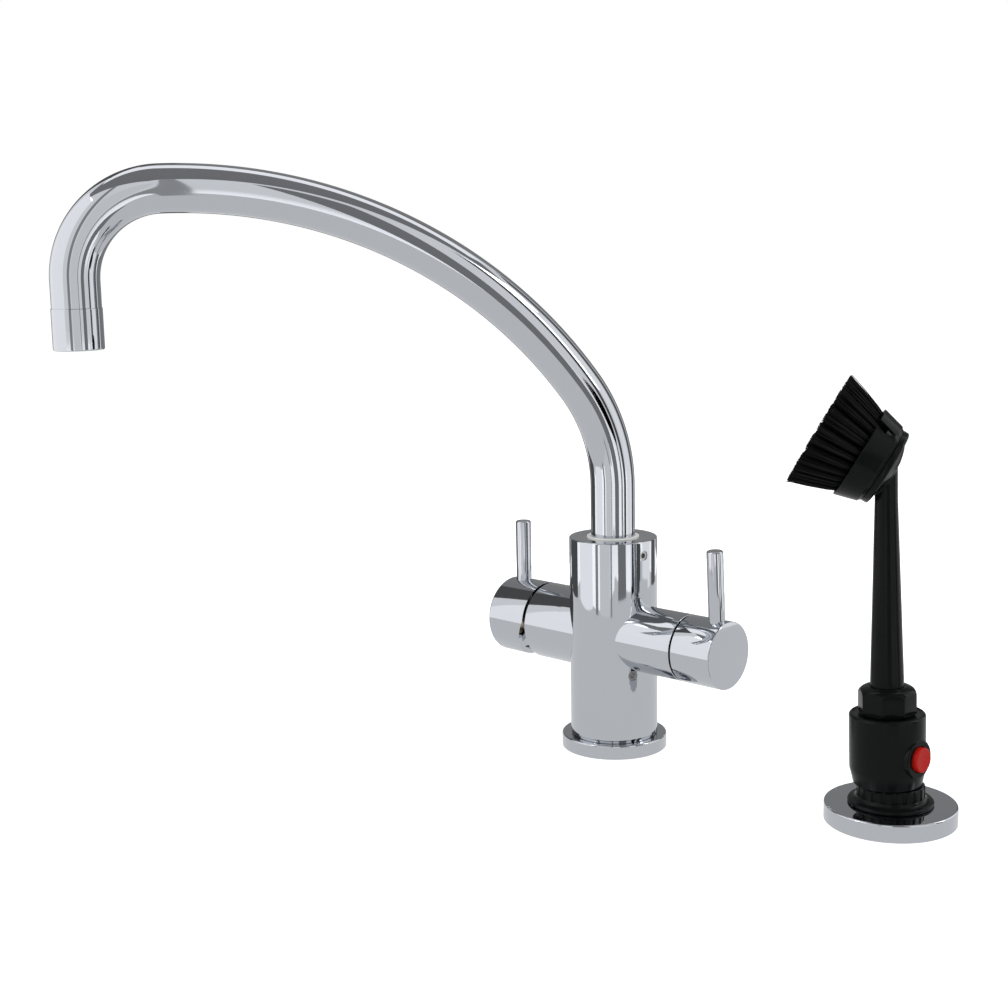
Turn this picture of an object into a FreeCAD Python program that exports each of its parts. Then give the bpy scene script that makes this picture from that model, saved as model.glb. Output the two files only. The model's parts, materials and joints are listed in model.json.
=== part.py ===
"""Two-handle kitchen tap with a long swan spout, and beside it a rinsing brush on a pull-out hose seat.

Frame: millimetres, +Z up, origin on the tap's axis at the sink deck.  +X runs along the two handles towards
the brush, -Y faces the user.  The left handle mixes, the right handle opens the feed of the brush.
"""
import FreeCAD, Part
import math
import os
import Sketcher

doc = FreeCAD.newDocument("SideSprayTap")
Vector, Rotation, Placement = FreeCAD.Vector, FreeCAD.Rotation, FreeCAD.Placement

# ---------------------------------------------------------------------------------------------------------
# Driving sizes: name, value (mm, or degrees where the name says so), meaning
# ---------------------------------------------------------------------------------------------------------
DRIVING_SIZES = [
    # tap column
    ("flange_dia", 53, "base flange"),
    ("flange_height", 7.2, "base flange"),
    ("column_dia", 44, "tap body"),
    ("column_top", 108, "top face of the tap body above the deck"),
    ("spigot_dia", 36, "foot of the body inside the flange"),
    ("spigot_bottom", 1, "foot of the body above the deck"),
    ("stud_drill", 6.8, "M8 thread's core hole for the fixing stud"),
    ("stud_depth", 16, "M8 thread"),
    ("tail_drill", 9, "M10x1 thread's core hole for each hose tail"),
    ("tail_depth", 12, "M10x1 thread"),
    ("tail_circle", 11, "distance of the hose tails from the tap's axis"),
    ("waterway_dia", 6, "drilled waterways"),
    # branches
    ("handle_axis", 58.2, "height of both handles' axis"),
    ("mixer_branch_dia", 39, "left branch and its cap"),
    ("mixer_branch_end", 43.7, "end of the left branch from the tap's axis"),
    ("mixer_cap_start", 45.3, "inner rim of the left cap"),
    ("mixer_cap_end", 69.3, "outer face of the left cap"),
    ("mixer_pivot", 38, "tilting pin of the mixer from the tap's axis"),
    ("mixer_bevel", 21.3, "slope in degrees of the left cap's lower rim"),
    ("valve_branch_dia", 33, "right branch and its cap"),
    ("valve_branch_end", 47.4, "end of the right branch from the tap's axis"),
    ("valve_cap_start", 48.4, "inner rim of the right cap"),
    ("valve_cap_end", 71, "outer face of the right cap"),
    ("lever_dia", 8, "lever rods"),
    ("lever_top", 109, "tip of both levers above the deck"),
    ("mixer_lever_place", 61.3, "left lever from the tap's axis"),
    ("valve_lever_place", 64.7, "right lever from the tap's axis"),
    ("valve_lever_lean", 3.3, "degrees that the closed right lever leans to the user"),
    # spout
    ("tube_dia", 22, "spout tube"),
    ("tube_wall", 1.2, "spout tube"),
    ("socket_dia", 26, "spout socket in the body"),
    ("socket_bottom", 80, "spout socket's floor above the deck"),
    ("spout_swivel", 30, "degrees that the spout is swung from the front to the left"),
    ("near_bend_height", 133.2, "end of the upright run"),
    ("near_bend_radius", 86, "first bend"),
    ("near_bend_angle", 36.1, "first bend, degrees"),
    ("long_arc_radius", 235.8, "long arch"),
    ("long_arc_angle", 55.5, "long arch, degrees"),
    ("outlet_bend_radius", 40, "last bend"),
    ("aerator_joint", 228.9, "lower end of the tube above the deck"),
    ("outlet_bottom", 210.3, "mouth of the aerator above the deck"),
    ("aerator_dia", 22.6, "aerator housing"),
    # brush station
    ("station_x", 160.5, "brush station"),
    ("station_y", -3, "brush station"),
    ("ring_dia", 58, "deck ring"),
    ("ring_height", 8, "deck ring"),
    ("ring_bore", 28.5, "threaded bore of the deck ring"),
    ("ring_thread", 5, "threaded bore of the deck ring, up from the deck"),
    ("bush_spigot_dia", 30, "guide bush's foot and its seat in the deck ring"),
    ("bush_bore", 22.4, "hose passage in the guide bush"),
    ("bush_collar_dia", 37.5, "flared collar of the guide bush"),
    ("bush_neck_dia", 29.5, "ribbed neck of the guide bush"),
    ("bush_top", 17, "top of the guide bush above the deck"),
    ("hand_seat", 17.5, "foot of the hand unit's axis above the deck"),
    ("hand_shift", 1.5, "the hand unit sits this far off the bush's axis"),
    ("hand_lean", 1.45, "degrees that the hand unit leans in its loose bush"),
    ("hand_turn", -150.2, "degrees about Z that the brush faces"),
    ("valve_body_dia", 33, "hand unit's valve body"),
    ("valve_body_top", 31.5, "valve body above the hand seat"),
    ("nut_flats", 23.5, "union nut across its eight flats"),
    ("nut_top", 44.5, "union nut above the hand seat"),
    ("nut_turn", 13.3, "degrees that the union nut is screwed past its first flat"),
    ("nipple_dia", 15, "M15x1 thread of the hose nipple"),
    ("nipple_spigot_dia", 11, "running spigot of the hose nipple"),
    ("button_dia", 11, "push button"),
    ("button_height", 13.5, "push button above the hand seat"),
    ("button_face", 18.8, "face of the button from the hand axis"),
    ("button_turn", 145.2, "degrees from the brush's side to the button's"),
    ("grip_foot_dia", 14.6, "handle at the nut"),
    ("grip_top_dia", 9.8, "handle below the head"),
    ("head_height", 139.4, "where the head's axis meets the handle's, above the hand seat"),
    ("head_setback", 2.26, "back of the head's rim behind that point, along the head's axis"),
    ("head_tilt", 31.7, "degrees that the bristles point above level"),
    ("head_disc_dia", 34.4, "disc at the top of the handle"),
    ("head_disc_thick", 4.3, "disc at the top of the handle"),
    ("cup_back_dia", 35.2, "bristle cup at its back"),
    ("cup_rim_dia", 40.1, "bristle cup at its rim"),
    ("cup_depth", 11.2, "bristle cup"),
    ("bristle_length", 20.2, "bristles beyond the cup's rim"),
    ("bristle_root_dia", 39.6, "bristle field at the cup"),
    ("bristle_tip_dia", 54.2, "bristle field at the tips"),
]

sheet = doc.addObject("Spreadsheet::Sheet", "Sizes")
for row, (alias, value, meaning) in enumerate(DRIVING_SIZES, start=1):
    sheet.set(f"A{row}", meaning)
    sheet.set(f"B{row}", str(value))
    sheet.setAlias(f"B{row}", alias)
doc.recompute()


class Size:
    """A length or an angle that knows its value and the sheet formula that gives it."""

    def __init__(self, value, formula):
        self.value = value
        self.formula = formula

    def joined(self, other, sign, value):
        return Size(value, f"({self.formula} {sign} {as_size(other).formula})")

    def __add__(self, other):
        return self.joined(other, "+", self.value + as_size(other).value)

    def __sub__(self, other):
        return self.joined(other, "-", self.value - as_size(other).value)

    def __mul__(self, other):
        return self.joined(other, "*", self.value * as_size(other).value)

    def __truediv__(self, other):
        return self.joined(other, "/", self.value / as_size(other).value)

    def __neg__(self):
        return Size(-self.value, f"(-{self.formula})")

    def __rsub__(self, other):
        return as_size(other) - self

    __radd__ = __add__


def as_size(number):
    """Give a plain number the same face as a size from the sheet."""
    return number if isinstance(number, Size) else Size(float(number), repr(float(number)))


class Sizes:
    """The sheet's cells by name."""


S = Sizes()
for alias, value, meaning in DRIVING_SIZES:
    setattr(S, alias, Size(float(value), f"Sizes.{alias}"))


# ---------------------------------------------------------------------------------------------------------
# Drawing helpers
# ---------------------------------------------------------------------------------------------------------
X_AXIS, Y_AXIS = -1, -2
ORIGIN_POINT, START, END, CENTRE = 1, 1, 2, 3
ZERO = 1e-9


def bind(target, name, size):
    """Set a number and, where it comes from the sheet, keep it tied to its formula."""
    size = as_size(size)
    setattr(target, name, size.value)
    if "Sizes." in size.formula:
        target.setExpression(name, size.formula)


def new_body(label):
    body = doc.addObject("PartDesign::Body", label)
    body.Label = label
    return body


def new_sketch(body, name, plane="XZ", offset=0):
    """An empty sketch on one of the body's own planes, moved along the plane's normal."""
    sketch = body.newObject("Sketcher::SketchObject", f"{body.Label}_{name}")
    role = f"{plane}_Plane"
    base = next(feature for feature in body.Origin.OriginFeatures if feature.Role == role)
    sketch.AttachmentSupport = [(base, "")]
    sketch.MapMode = "FlatFace"
    offset = as_size(offset)
    sketch.AttachmentOffset = Placement(Vector(0, 0, offset.value), Rotation())
    if "Sizes." in offset.formula:
        sketch.setExpression(".AttachmentOffset.Base.z", offset.formula)
    return sketch


def fix_number(sketch, kind, *reference, size):
    """Add a driving dimension and tie it to its formula."""
    size = as_size(size)
    index = sketch.addConstraint(Sketcher.Constraint(kind, *reference, size.value))
    if "Sizes." in size.formula:
        sketch.setExpression(f"Constraints[{index}]", size.formula)


def fix_point(sketch, geometry, end, x, y):
    """Hold a point of the sketch at x, y from the origin."""
    for size, kind, axis in ((as_size(x), "DistanceX", Y_AXIS), (as_size(y), "DistanceY", X_AXIS)):
        if abs(size.value) < ZERO:
            sketch.addConstraint(Sketcher.Constraint("PointOnObject", geometry, end, axis))
        else:
            fix_number(sketch, kind, X_AXIS, ORIGIN_POINT, geometry, end, size=size)


def arc_middle(first, last, radius):
    """The middle point of the short arc between two points; a positive radius bulges left of the way."""
    chord = last - first
    half = chord.Length / 2
    sagitta = abs(radius) - math.sqrt(radius * radius - half * half)
    left = Vector(-chord.y, chord.x, 0) / chord.Length
    return (first + last) / 2 + left * math.copysign(sagitta, radius)


def draw_outline(sketch, points):
    """A closed outline.  A point is (x, y), or (x, y, radius) where an arc leads to it from the last one."""
    places = [Vector(as_size(point[0]).value, as_size(point[1]).value, 0) for point in points]
    edges = []
    for index, point in enumerate(points):
        before = index - 1
        first, last = places[before], places[index]
        if len(point) == 3:
            radius = as_size(point[2])
            curve = Part.Arc(first, arc_middle(first, last, radius.value), last)
            geometry = sketch.addGeometry(curve, False)
            leftward = radius.value > 0
            ends = (END, START) if leftward else (START, END)
            fix_number(sketch, "Radius", geometry, size=radius if leftward else -radius)
            edges.append((geometry, *ends, before))
        else:
            geometry = sketch.addGeometry(Part.LineSegment(first, last), False)
            edges.append((geometry, START, END, before))
    for index, (geometry, _, end, _) in enumerate(edges):
        following, start, _, _ = edges[(index + 1) % len(edges)]
        sketch.addConstraint(Sketcher.Constraint("Coincident", geometry, end, following, start))
        fix_point(sketch, geometry, end, points[index][0], points[index][1])
    return sketch


def draw_circle(sketch, radius, x=0, y=0):
    centre = Vector(as_size(x).value, as_size(y).value, 0)
    geometry = sketch.addGeometry(Part.Circle(centre, Vector(0, 0, 1), as_size(radius).value), False)
    fix_point(sketch, geometry, CENTRE, x, y)
    fix_number(sketch, "Radius", geometry, size=radius)
    return sketch


def solid_of(body):
    doc.recompute()
    return body.Shape


def feature(body, kind, name, sketch=None, removes=False, **values):
    """Add one feature to a body and make sure that it changed the solid the way it should."""
    before = solid_of(body).Volume if body.Tip else 0
    made = body.newObject(f"PartDesign::{kind}", f"{body.Label}_{name}")
    if sketch is not None:
        made.Profile = sketch
        sketch.Visibility = False
    for key, value in values.items():
        if isinstance(value, Size):
            bind(made, key, value)
        else:
            setattr(made, key, value)
    after = solid_of(body).Volume
    if (after >= before - ZERO) if removes else (after <= before + ZERO):
        raise RuntimeError(f"{made.Name} left the solid as it was: {before:.2f} to {after:.2f}")
    return made


def pad(body, name, sketch, length, **values):
    return feature(body, "Pad", name, sketch, Length=as_size(length), **values)


def pocket(body, name, sketch, depth, **values):
    return feature(body, "Pocket", name, sketch, removes=True, Length=as_size(depth), **values)


def drill(body, name, plane, start, radius, depth, x=0, y=0, onward=False):
    """A round hole from one of the body's planes: against the plane's normal, or onward along it."""
    circle = draw_circle(new_sketch(body, name + "_circle", plane, start), radius, x, y)
    return pocket(body, name, circle, depth, Reversed=onward)


def revolve(body, name, sketch, removes=False, axis="V_Axis"):
    kind = "Groove" if removes else "Revolution"
    return feature(body, kind, name, sketch, removes=removes, ReferenceAxis=(sketch, [axis]), Angle=360.0)


def turned(label, points, place=None):
    """A turned piece: its half outline in radius and height, revolved about its own Z axis."""
    body = new_body(label)
    revolve(body, "turning", draw_outline(new_sketch(body, "half_outline"), points))
    if place is not None:
        body.Placement = place
    return body


def o_ring(label, groove_radius, height, place):
    """A round seal lying in a groove of this radius."""
    body = new_body(label)
    wire = draw_circle(new_sketch(body, "wire"), SEAL_WIRE / 2, groove_radius + SEAL_WIRE / 2, height)
    revolve(body, "ring", wire)
    body.Placement = place


def rims(body, radius, height):
    """Names of the circular edges about the body's own Z axis with this radius at this height."""
    radius, height = as_size(radius).value, as_size(height).value
    found = []
    for number, edge in enumerate(body.Tip.Shape.Edges, start=1):
        curve = edge.Curve
        if not isinstance(curve, Part.Circle):
            continue
        centred = math.hypot(curve.Center.x, curve.Center.y) < 0.01
        if centred and abs(curve.Radius - radius) < 0.01 and abs(curve.Center.z - height) < 0.01:
            found.append(f"Edge{number}")
    if not found:
        raise RuntimeError(f"{body.Label} has no rim of radius {radius} at {height}")
    return found


def soften(body, name, edges, size, kind="Fillet"):
    """Round or chamfer edges of the body's last feature."""
    doc.recompute()
    value = {"Radius" if kind == "Fillet" else "Size": as_size(size)}
    return feature(body, kind, name, removes=True, Base=(body.Tip, edges), **value)


def around(body, name, made, count):
    """Repeat a feature about the body's own Z axis."""
    before = solid_of(body).Volume
    pattern = body.newObject("PartDesign::PolarPattern", f"{body.Label}_{name}")
    axis = next(item for item in body.Origin.OriginFeatures if item.Role == "Z_Axis")
    pattern.Originals = [made]
    pattern.Axis = (axis, [""])
    pattern.Angle = 360.0
    pattern.Occurrences = count
    body.Tip = pattern
    if abs(solid_of(body).Volume - before) < ZERO:
        raise RuntimeError(f"{pattern.Name} repeated nothing")
    return pattern


def polygon(sides, flat):
    """Corners of a regular polygon whose flats are this far from its centre."""
    corner = flat / math.cos(math.pi / sides)
    angles = [math.pi / sides * (2 * index + 1) for index in range(sides)]
    return [(corner * math.cos(angle), corner * math.sin(angle)) for angle in angles]


def oblong(half_x, half_y):
    return [(-half_x, -half_y), (half_x, -half_y), (half_x, half_y), (-half_x, half_y)]


def ring_outline(inner, outer, bottom, top):
    return [(inner, bottom), (outer, bottom), (outer, top), (inner, top)]


def solid_outline(radius, bottom, top):
    return [(0, bottom), (radius, bottom), (radius, top), (0, top)]


def group_of(label, shapes):
    """One piece made of ready shapes, such as several separate solids of one kind."""
    piece = doc.addObject("Part::Feature", label)
    piece.Label = label
    piece.Shape = Part.makeCompound(shapes) if len(shapes) > 1 else shapes[0]
    return piece


# ---------------------------------------------------------------------------------------------------------
# Places
# ---------------------------------------------------------------------------------------------------------
ALONG_LEFT = Placement(Vector(0, 0, S.handle_axis.value), Rotation(Vector(0, 1, 0), -90))
ALONG_RIGHT = Placement(Vector(0, 0, S.handle_axis.value), Rotation(Vector(0, 1, 0), 90))
RIGHT_LEAN = Placement(
    Vector(0, 0, 0),
    Rotation(Vector(1, 0, 0), S.valve_lever_lean.value),
    Vector(0, 0, S.handle_axis.value),
)
RIGHT_HANDLE = RIGHT_LEAN * ALONG_RIGHT
SPOUT_AZIMUTH = -90 - S.spout_swivel.value
SPOUT_PLACE = Placement(Vector(0, 0, 0), Rotation(Vector(0, 0, 1), SPOUT_AZIMUTH))
STATION = Placement(Vector(S.station_x.value, S.station_y.value, 0), Rotation())


def hand_place():
    """The hand unit stands off the bush's axis and leans towards the side that the brush faces."""
    turn = Rotation(Vector(0, 0, 1), S.hand_turn.value)
    lean = Rotation(Vector(0, 1, 0), S.hand_lean.value)
    foot = turn.multVec(Vector(S.hand_shift.value, 0, S.hand_seat.value))
    return STATION * Placement(foot, turn * lean)


HAND = hand_place()
BUTTON = HAND * Placement(
    Vector(0, 0, S.button_height.value),
    Rotation(Vector(0, 0, 1), S.button_turn.value) * Rotation(Vector(0, 1, 0), 90),
)
HEAD_SIDE = Rotation(Vector(0, 1, 0), 90 - S.head_tilt.value)
HEAD_ON_HAND = Placement(Vector(0, 0, S.head_height.value), HEAD_SIDE) * Placement(
    Vector(0, 0, -S.head_setback.value), Rotation()
)
HEAD = HAND * HEAD_ON_HAND


# ---------------------------------------------------------------------------------------------------------
# Tap: column, base and spout socket
# ---------------------------------------------------------------------------------------------------------
SEAL_INNER, SEAL_OUTER, SEAL_DEPTH = 20.5, 24.5, 2.0
PART_GAP = 0.05  # running clearance on the radius


def base_flange():
    body = turned("base_flange", ring_outline(S.spigot_dia / 2, S.flange_dia / 2, 0, S.flange_height))
    soften(body, "top_round", rims(body, S.flange_dia / 2, S.flange_height), 0.8)
    groove = draw_outline(
        new_sketch(body, "seal_groove"), ring_outline(SEAL_INNER, SEAL_OUTER, 0, SEAL_DEPTH)
    )
    revolve(body, "seal_groove_cut", groove, removes=True)


def base_seal():
    turned("base_seal", ring_outline(SEAL_INNER, SEAL_OUTER, 0, SEAL_DEPTH))


def tap_body():
    """One casting: column, two branches, spout socket, cartridge chambers, ports and waterways."""
    body = new_body("tap_body")
    foot_groove, groove_height = S.column_dia / 2 - 0.7, S.flange_height + 0.7
    column = [
        (0, S.spigot_bottom),
        (S.spigot_dia / 2, S.spigot_bottom),
        (S.spigot_dia / 2, S.flange_height),
        (foot_groove, S.flange_height),
        (foot_groove, groove_height),
        (S.column_dia / 2, groove_height),
        (S.column_dia / 2, S.column_top),
        (0, S.column_top),
    ]
    revolve(body, "column", draw_outline(new_sketch(body, "column_outline"), column))
    soften(body, "top_round", rims(body, S.column_dia / 2, S.column_top), 0.6)

    left = draw_circle(new_sketch(body, "left_circle", "YZ"), S.mixer_branch_dia / 2, 0, S.handle_axis)
    pad(body, "left_branch", left, S.mixer_branch_end, Reversed=True)
    right = draw_circle(new_sketch(body, "right_circle", "YZ"), S.valve_branch_dia / 2, 0, S.handle_axis)
    pad(body, "right_branch", right, S.valve_branch_end)

    drill(body, "spout_socket", "XY", S.column_top, S.socket_dia / 2, S.column_top - S.socket_bottom)
    axis, left_end, right_end = S.handle_axis, S.mixer_branch_end, S.valve_branch_end
    left_depth = left_end - MIXER_FLOOR
    drill(body, "mixer_chamber", "YZ", -left_end, MIXER_CHAMBER_R, left_depth, 0, axis, onward=True)
    drill(body, "valve_mouth", "YZ", right_end, VALVE_MOUTH_R, right_end - VALVE_SHOULDER, 0, axis)
    drill(body, "valve_chamber", "YZ", right_end, VALVE_CHAMBER_R, right_end - VALVE_FLOOR, 0, axis)
    drill(body, "valve_seat_way", "YZ", VALVE_FLOOR, SEAT_WAY_R, VALVE_FLOOR, 0, axis)

    foot, way = S.spigot_bottom, S.waterway_dia / 2
    drill(body, "stud_hole", "XY", foot, S.stud_drill / 2, S.stud_depth, onward=True)
    for name, angle, top in TAILS:
        x = S.tail_circle * math.cos(math.radians(angle))
        y = S.tail_circle * math.sin(math.radians(angle))
        drill(body, name + "_port", "XY", foot, S.tail_drill / 2, S.tail_depth, x, y, onward=True)
        drill(body, name + "_rise", "XY", foot, way, top - foot, x, y, onward=True)
    for name, side in (("hot", HOT_Y), ("cold", -HOT_Y)):
        drill(body, name + "_side_way", "YZ", -MIXER_FLOOR, way, CROSS_DRILL, side, axis, onward=True)
    drill(body, "mixed_way", "YZ", -MIXER_FLOOR, way, MIXER_FLOOR + way, 0, axis + MIXED_RISE, onward=True)
    drill(body, "riser", "XY", S.socket_bottom, way, S.socket_bottom - axis)
    cross_length = SPRAY_CROSS_START - S.tail_circle
    drill(body, "spray_cross_way", "YZ", SPRAY_CROSS_START, way - 0.5, cross_length, 0, SPRAY_CROSS_Z)

    for name, (angle, height, radius, depth) in SIDE_HOLES.items():
        make_side_hole(body, name, angle, height, radius, depth)
    return body


# left chamber, and the drilled ways behind it
MIXER_FLOOR, MIXER_CHAMBER_R = 14.0, 16.5
HOT_Y, MIXED_RISE, CROSS_DRILL = 9.5, 9.0, 8.0
# right chamber: mouth for the headwork's collar, thread, seat
VALVE_SHOULDER, VALVE_MOUTH_R = 40.0, 13.6
VALVE_FLOOR, VALVE_CHAMBER_R, SEAT_WAY_R = 20.0, 11.3, 4.5
SPRAY_CROSS_START, SPRAY_CROSS_Z = 24.0, 49.0
TAILS = [
    ("hot_tail", 120, S.handle_axis),
    ("cold_tail", 240, S.handle_axis),
    ("spray_tail", 0, as_size(SPRAY_CROSS_Z)),
]
# side holes of the column: direction in degrees, height, radius, depth from the column's skin
SIDE_HOLES = {
    "lock_screw_hole": (-6.8, 100.9, 2.5, 10.0),
    "drill_plug_hole": (-24.8, 41.2, 2.5, 9.0),
}


def side_place(angle, height):
    """Local Z points out of the column in this direction."""
    out = Rotation(Vector(0, 0, 1), angle) * Rotation(Vector(0, 1, 0), 90)
    return Placement(Vector(0, 0, height), out)


def make_side_hole(body, name, angle, height, radius, depth):
    """A radial hole, cut with a plane turned about the column."""
    sketch = new_sketch(body, name + "_circle", "XY")
    place = side_place(angle, height)
    sketch.AttachmentOffset = place * Placement(Vector(0, 0, S.column_dia.value / 2), Rotation())
    draw_circle(sketch, radius)
    pocket(body, name, sketch, depth)


def side_screws():
    """Grub screws with a hexagon socket, in the column's two side holes."""
    skin, inset = S.column_dia / 2, 0.6
    outer = skin - inset
    angle, height, radius, depth = SIDE_HOLES["lock_screw_hole"]
    dog, neck = 1.4, S.socket_dia / 2 + 0.4
    tip = as_size(LOCK_GROOVE_R + 0.5)
    outline = [(0, tip), (dog, tip), (dog, neck), (radius, neck), (radius, outer), (0, outer)]
    lock = turned("spout_lock_screw", outline, side_place(angle, height))
    angle, height, radius, depth = SIDE_HOLES["drill_plug_hole"]
    plug_outline = solid_outline(radius, skin - depth + 0.1, outer)
    plug = turned("drill_plug_screw", plug_outline, side_place(angle, height))
    for screw in (lock, plug):
        hex_socket(screw, outer, 1.25, 2.0)


def hex_socket(body, top, flat, depth):
    """A hexagon socket sunk in the end of a turned piece."""
    sketch = new_sketch(body, "hexagon", "XY", top)
    draw_outline(sketch, polygon(6, flat))
    pocket(body, "hexagon_socket", sketch, depth)


# ---------------------------------------------------------------------------------------------------------
# Spout
# ---------------------------------------------------------------------------------------------------------
SPOUT_FOOT_BOTTOM, SPOUT_FOOT_TOP = 80.6, 106.4
LOCK_GROOVE_R, LOCK_GROOVE_HALF = 11.7, 1.7
SEAL_GROOVE_R, SEAL_WIRE = 11.45, 1.5
SEAL_HEIGHTS = (85.5, 92.5)
TUBE_BOTTOM = 83.0


def outward(heading):
    """From a clockwise arc's centre to the point where the way has this heading."""
    return Vector(-math.sin(heading), math.cos(heading), 0)


def spout_tube():
    """One bent tube: upright run, first bend, long arch, outlet bend and drop."""
    body = new_body("spout_tube")
    path = new_sketch(body, "path")
    bend_r, arch_r, drop_r = S.near_bend_radius.value, S.long_arc_radius.value, S.outlet_bend_radius.value
    points, arcs = [Vector(0, TUBE_BOTTOM, 0), Vector(0, S.near_bend_height.value, 0)], []
    heading = math.pi / 2
    turns = (math.radians(S.near_bend_angle.value), math.radians(S.long_arc_angle.value))
    for radius, turn in ((bend_r, turns[0]), (arch_r, turns[1]), (drop_r, math.pi - sum(turns))):
        start = points[-1]
        centre = start + Vector(math.sin(heading), -math.cos(heading), 0) * radius
        middle = centre + outward(heading - turn / 2) * radius
        heading -= turn
        stop = centre + outward(heading) * radius
        arcs.append(Part.Arc(start, middle, stop))
        points.append(stop)
    rise = path.addGeometry(Part.LineSegment(points[0], points[1]), False)
    bends = [path.addGeometry(arc, False) for arc in arcs]
    drop_end = Vector(points[-1].x, S.aerator_joint.value, 0)
    drop = path.addGeometry(Part.LineSegment(points[-1], drop_end), False)
    # every arc here runs clockwise, so its second end is the one nearer the foot
    chain = [(rise, START, END), *((bend, END, START) for bend in bends), (drop, START, END)]
    for (first, _, leaving), (second, entering, _) in zip(chain, chain[1:]):
        path.addConstraint(Sketcher.Constraint("Tangent", first, leaving, second, entering))
    fix_point(path, rise, START, 0, TUBE_BOTTOM)
    fix_point(path, rise, END, 0, S.near_bend_height)
    path.addConstraint(Sketcher.Constraint("Vertical", drop))
    fix_number(path, "DistanceY", X_AXIS, ORIGIN_POINT, drop, END, size=S.aerator_joint)
    for bend, radius in zip(bends, (S.near_bend_radius, S.long_arc_radius, S.outlet_bend_radius)):
        fix_number(path, "Radius", bend, size=radius)
    for bend, angle in zip(bends, (S.near_bend_angle, S.long_arc_angle)):
        index = path.addConstraint(Sketcher.Constraint("Angle", bend, math.radians(angle.value)))
        path.setExpression(f"Constraints[{index}]", f"{angle.formula} * 1 deg")
    section = new_sketch(body, "section", "XY", TUBE_BOTTOM)
    draw_circle(section, S.tube_dia / 2)
    draw_circle(section, S.tube_dia / 2 - S.tube_wall)
    doc.recompute()
    feature(body, "AdditivePipe", "bending", section, Spine=(path, [""]))
    body.Placement = SPOUT_PLACE
    outer, inner = S.tube_dia.value / 2, S.tube_dia.value / 2 - S.tube_wall.value
    expected = math.pi * (outer * outer - inner * inner) * path.Shape.Length
    print(f"spout tube volume {body.Shape.Volume:.0f} mm3, section times length {expected:.0f} mm3")
    reach = math.hypot(*body.Shape.CenterOfMass[:2])
    print(f"spout path length {path.Shape.Length:.1f} mm, centre of mass {reach:.1f} mm from the axis")
    return points[-1].x


def spout_fittings(reach):
    """The turned foot and its seals in the socket, and the aerator at the mouth."""
    foot_radius = S.socket_dia / 2 - PART_GAP
    outline = [(S.tube_dia / 2, SPOUT_FOOT_BOTTOM), (foot_radius, SPOUT_FOOT_BOTTOM)]
    for height in SEAL_HEIGHTS:
        low, high = height - SEAL_WIRE / 2 - 0.1, height + SEAL_WIRE / 2 + 0.1
        outline += [(foot_radius, low), (SEAL_GROOVE_R, low), (SEAL_GROOVE_R, high), (foot_radius, high)]
    lock = SIDE_HOLES["lock_screw_hole"][1]
    low, high = lock - LOCK_GROOVE_HALF, lock + LOCK_GROOVE_HALF
    outline += [(foot_radius, low), (LOCK_GROOVE_R, low), (LOCK_GROOVE_R, high), (foot_radius, high)]
    outline += [(foot_radius, SPOUT_FOOT_TOP), (S.tube_dia / 2, SPOUT_FOOT_TOP)]
    turned("spout_foot", outline, SPOUT_PLACE)
    for name, height in zip(("low", "high"), SEAL_HEIGHTS):
        o_ring(f"spout_o_ring_{name}", SEAL_GROOVE_R, height, SPOUT_PLACE)
    wear_ring = ring_outline(
        S.tube_dia / 2 + 0.15, S.socket_dia / 2, SPOUT_FOOT_TOP + 0.4, S.column_top + 0.4
    )
    turned("spout_wear_ring", wear_ring)

    mouth = Placement(Vector(reach, 0, 0), Rotation())
    outside, spigot = S.aerator_dia / 2, S.tube_dia / 2 - S.tube_wall
    housing = [
        (7.6, AERATOR_SHOULDER),
        (AERATOR_BORE_R, AERATOR_SHOULDER),
        (AERATOR_BORE_R, S.outlet_bottom),
        (outside, S.outlet_bottom),
        (outside, S.aerator_joint),
        (spigot, S.aerator_joint),
        (spigot, S.aerator_joint + 7),
        (7.6, S.aerator_joint + 7),
    ]
    body = turned("aerator_housing", housing, SPOUT_PLACE * mouth)
    for height in (S.outlet_bottom, S.aerator_joint):
        soften(body, f"edge_{height.value:.0f}", rims(body, outside, height), 0.4)
    insert = turned(
        "aerator_insert",
        solid_outline(AERATOR_BORE_R, S.outlet_bottom + 1.2, AERATOR_SHOULDER - 2),
        SPOUT_PLACE * mouth,
    )
    for name, jet_circle, count in (("outer", 6.2, 12), ("inner", 3.1, 6)):
        jet = drill(insert, name + "_jet", "XY", AERATOR_SHOULDER - 2, 0.9, 20, jet_circle)
        around(insert, name + "_jets", jet, count)
    turned(
        "aerator_washer",
        ring_outline(6.0, AERATOR_BORE_R, AERATOR_SHOULDER - 2, AERATOR_SHOULDER),
        SPOUT_PLACE * mouth,
    )


AERATOR_BORE_R, AERATOR_SHOULDER = 9.4, 224.0


# ---------------------------------------------------------------------------------------------------------
# Left handle: lever mixer.  Heights along these pieces are distances from the tap's axis.
# ---------------------------------------------------------------------------------------------------------
CARTRIDGE_R, CARTRIDGE_WALL, CARTRIDGE_TOP = 16.3, 1.6, 34.0
DISC_STACK = 18.0
NUT_R, NUT_HOLE_R, NUT_TOP = 16.5, 11.0, 41.0
STEM_HALF, STEM_START, STEM_END = 4.0, 29.5, 58.0
PIN_R = 1.5


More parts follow.
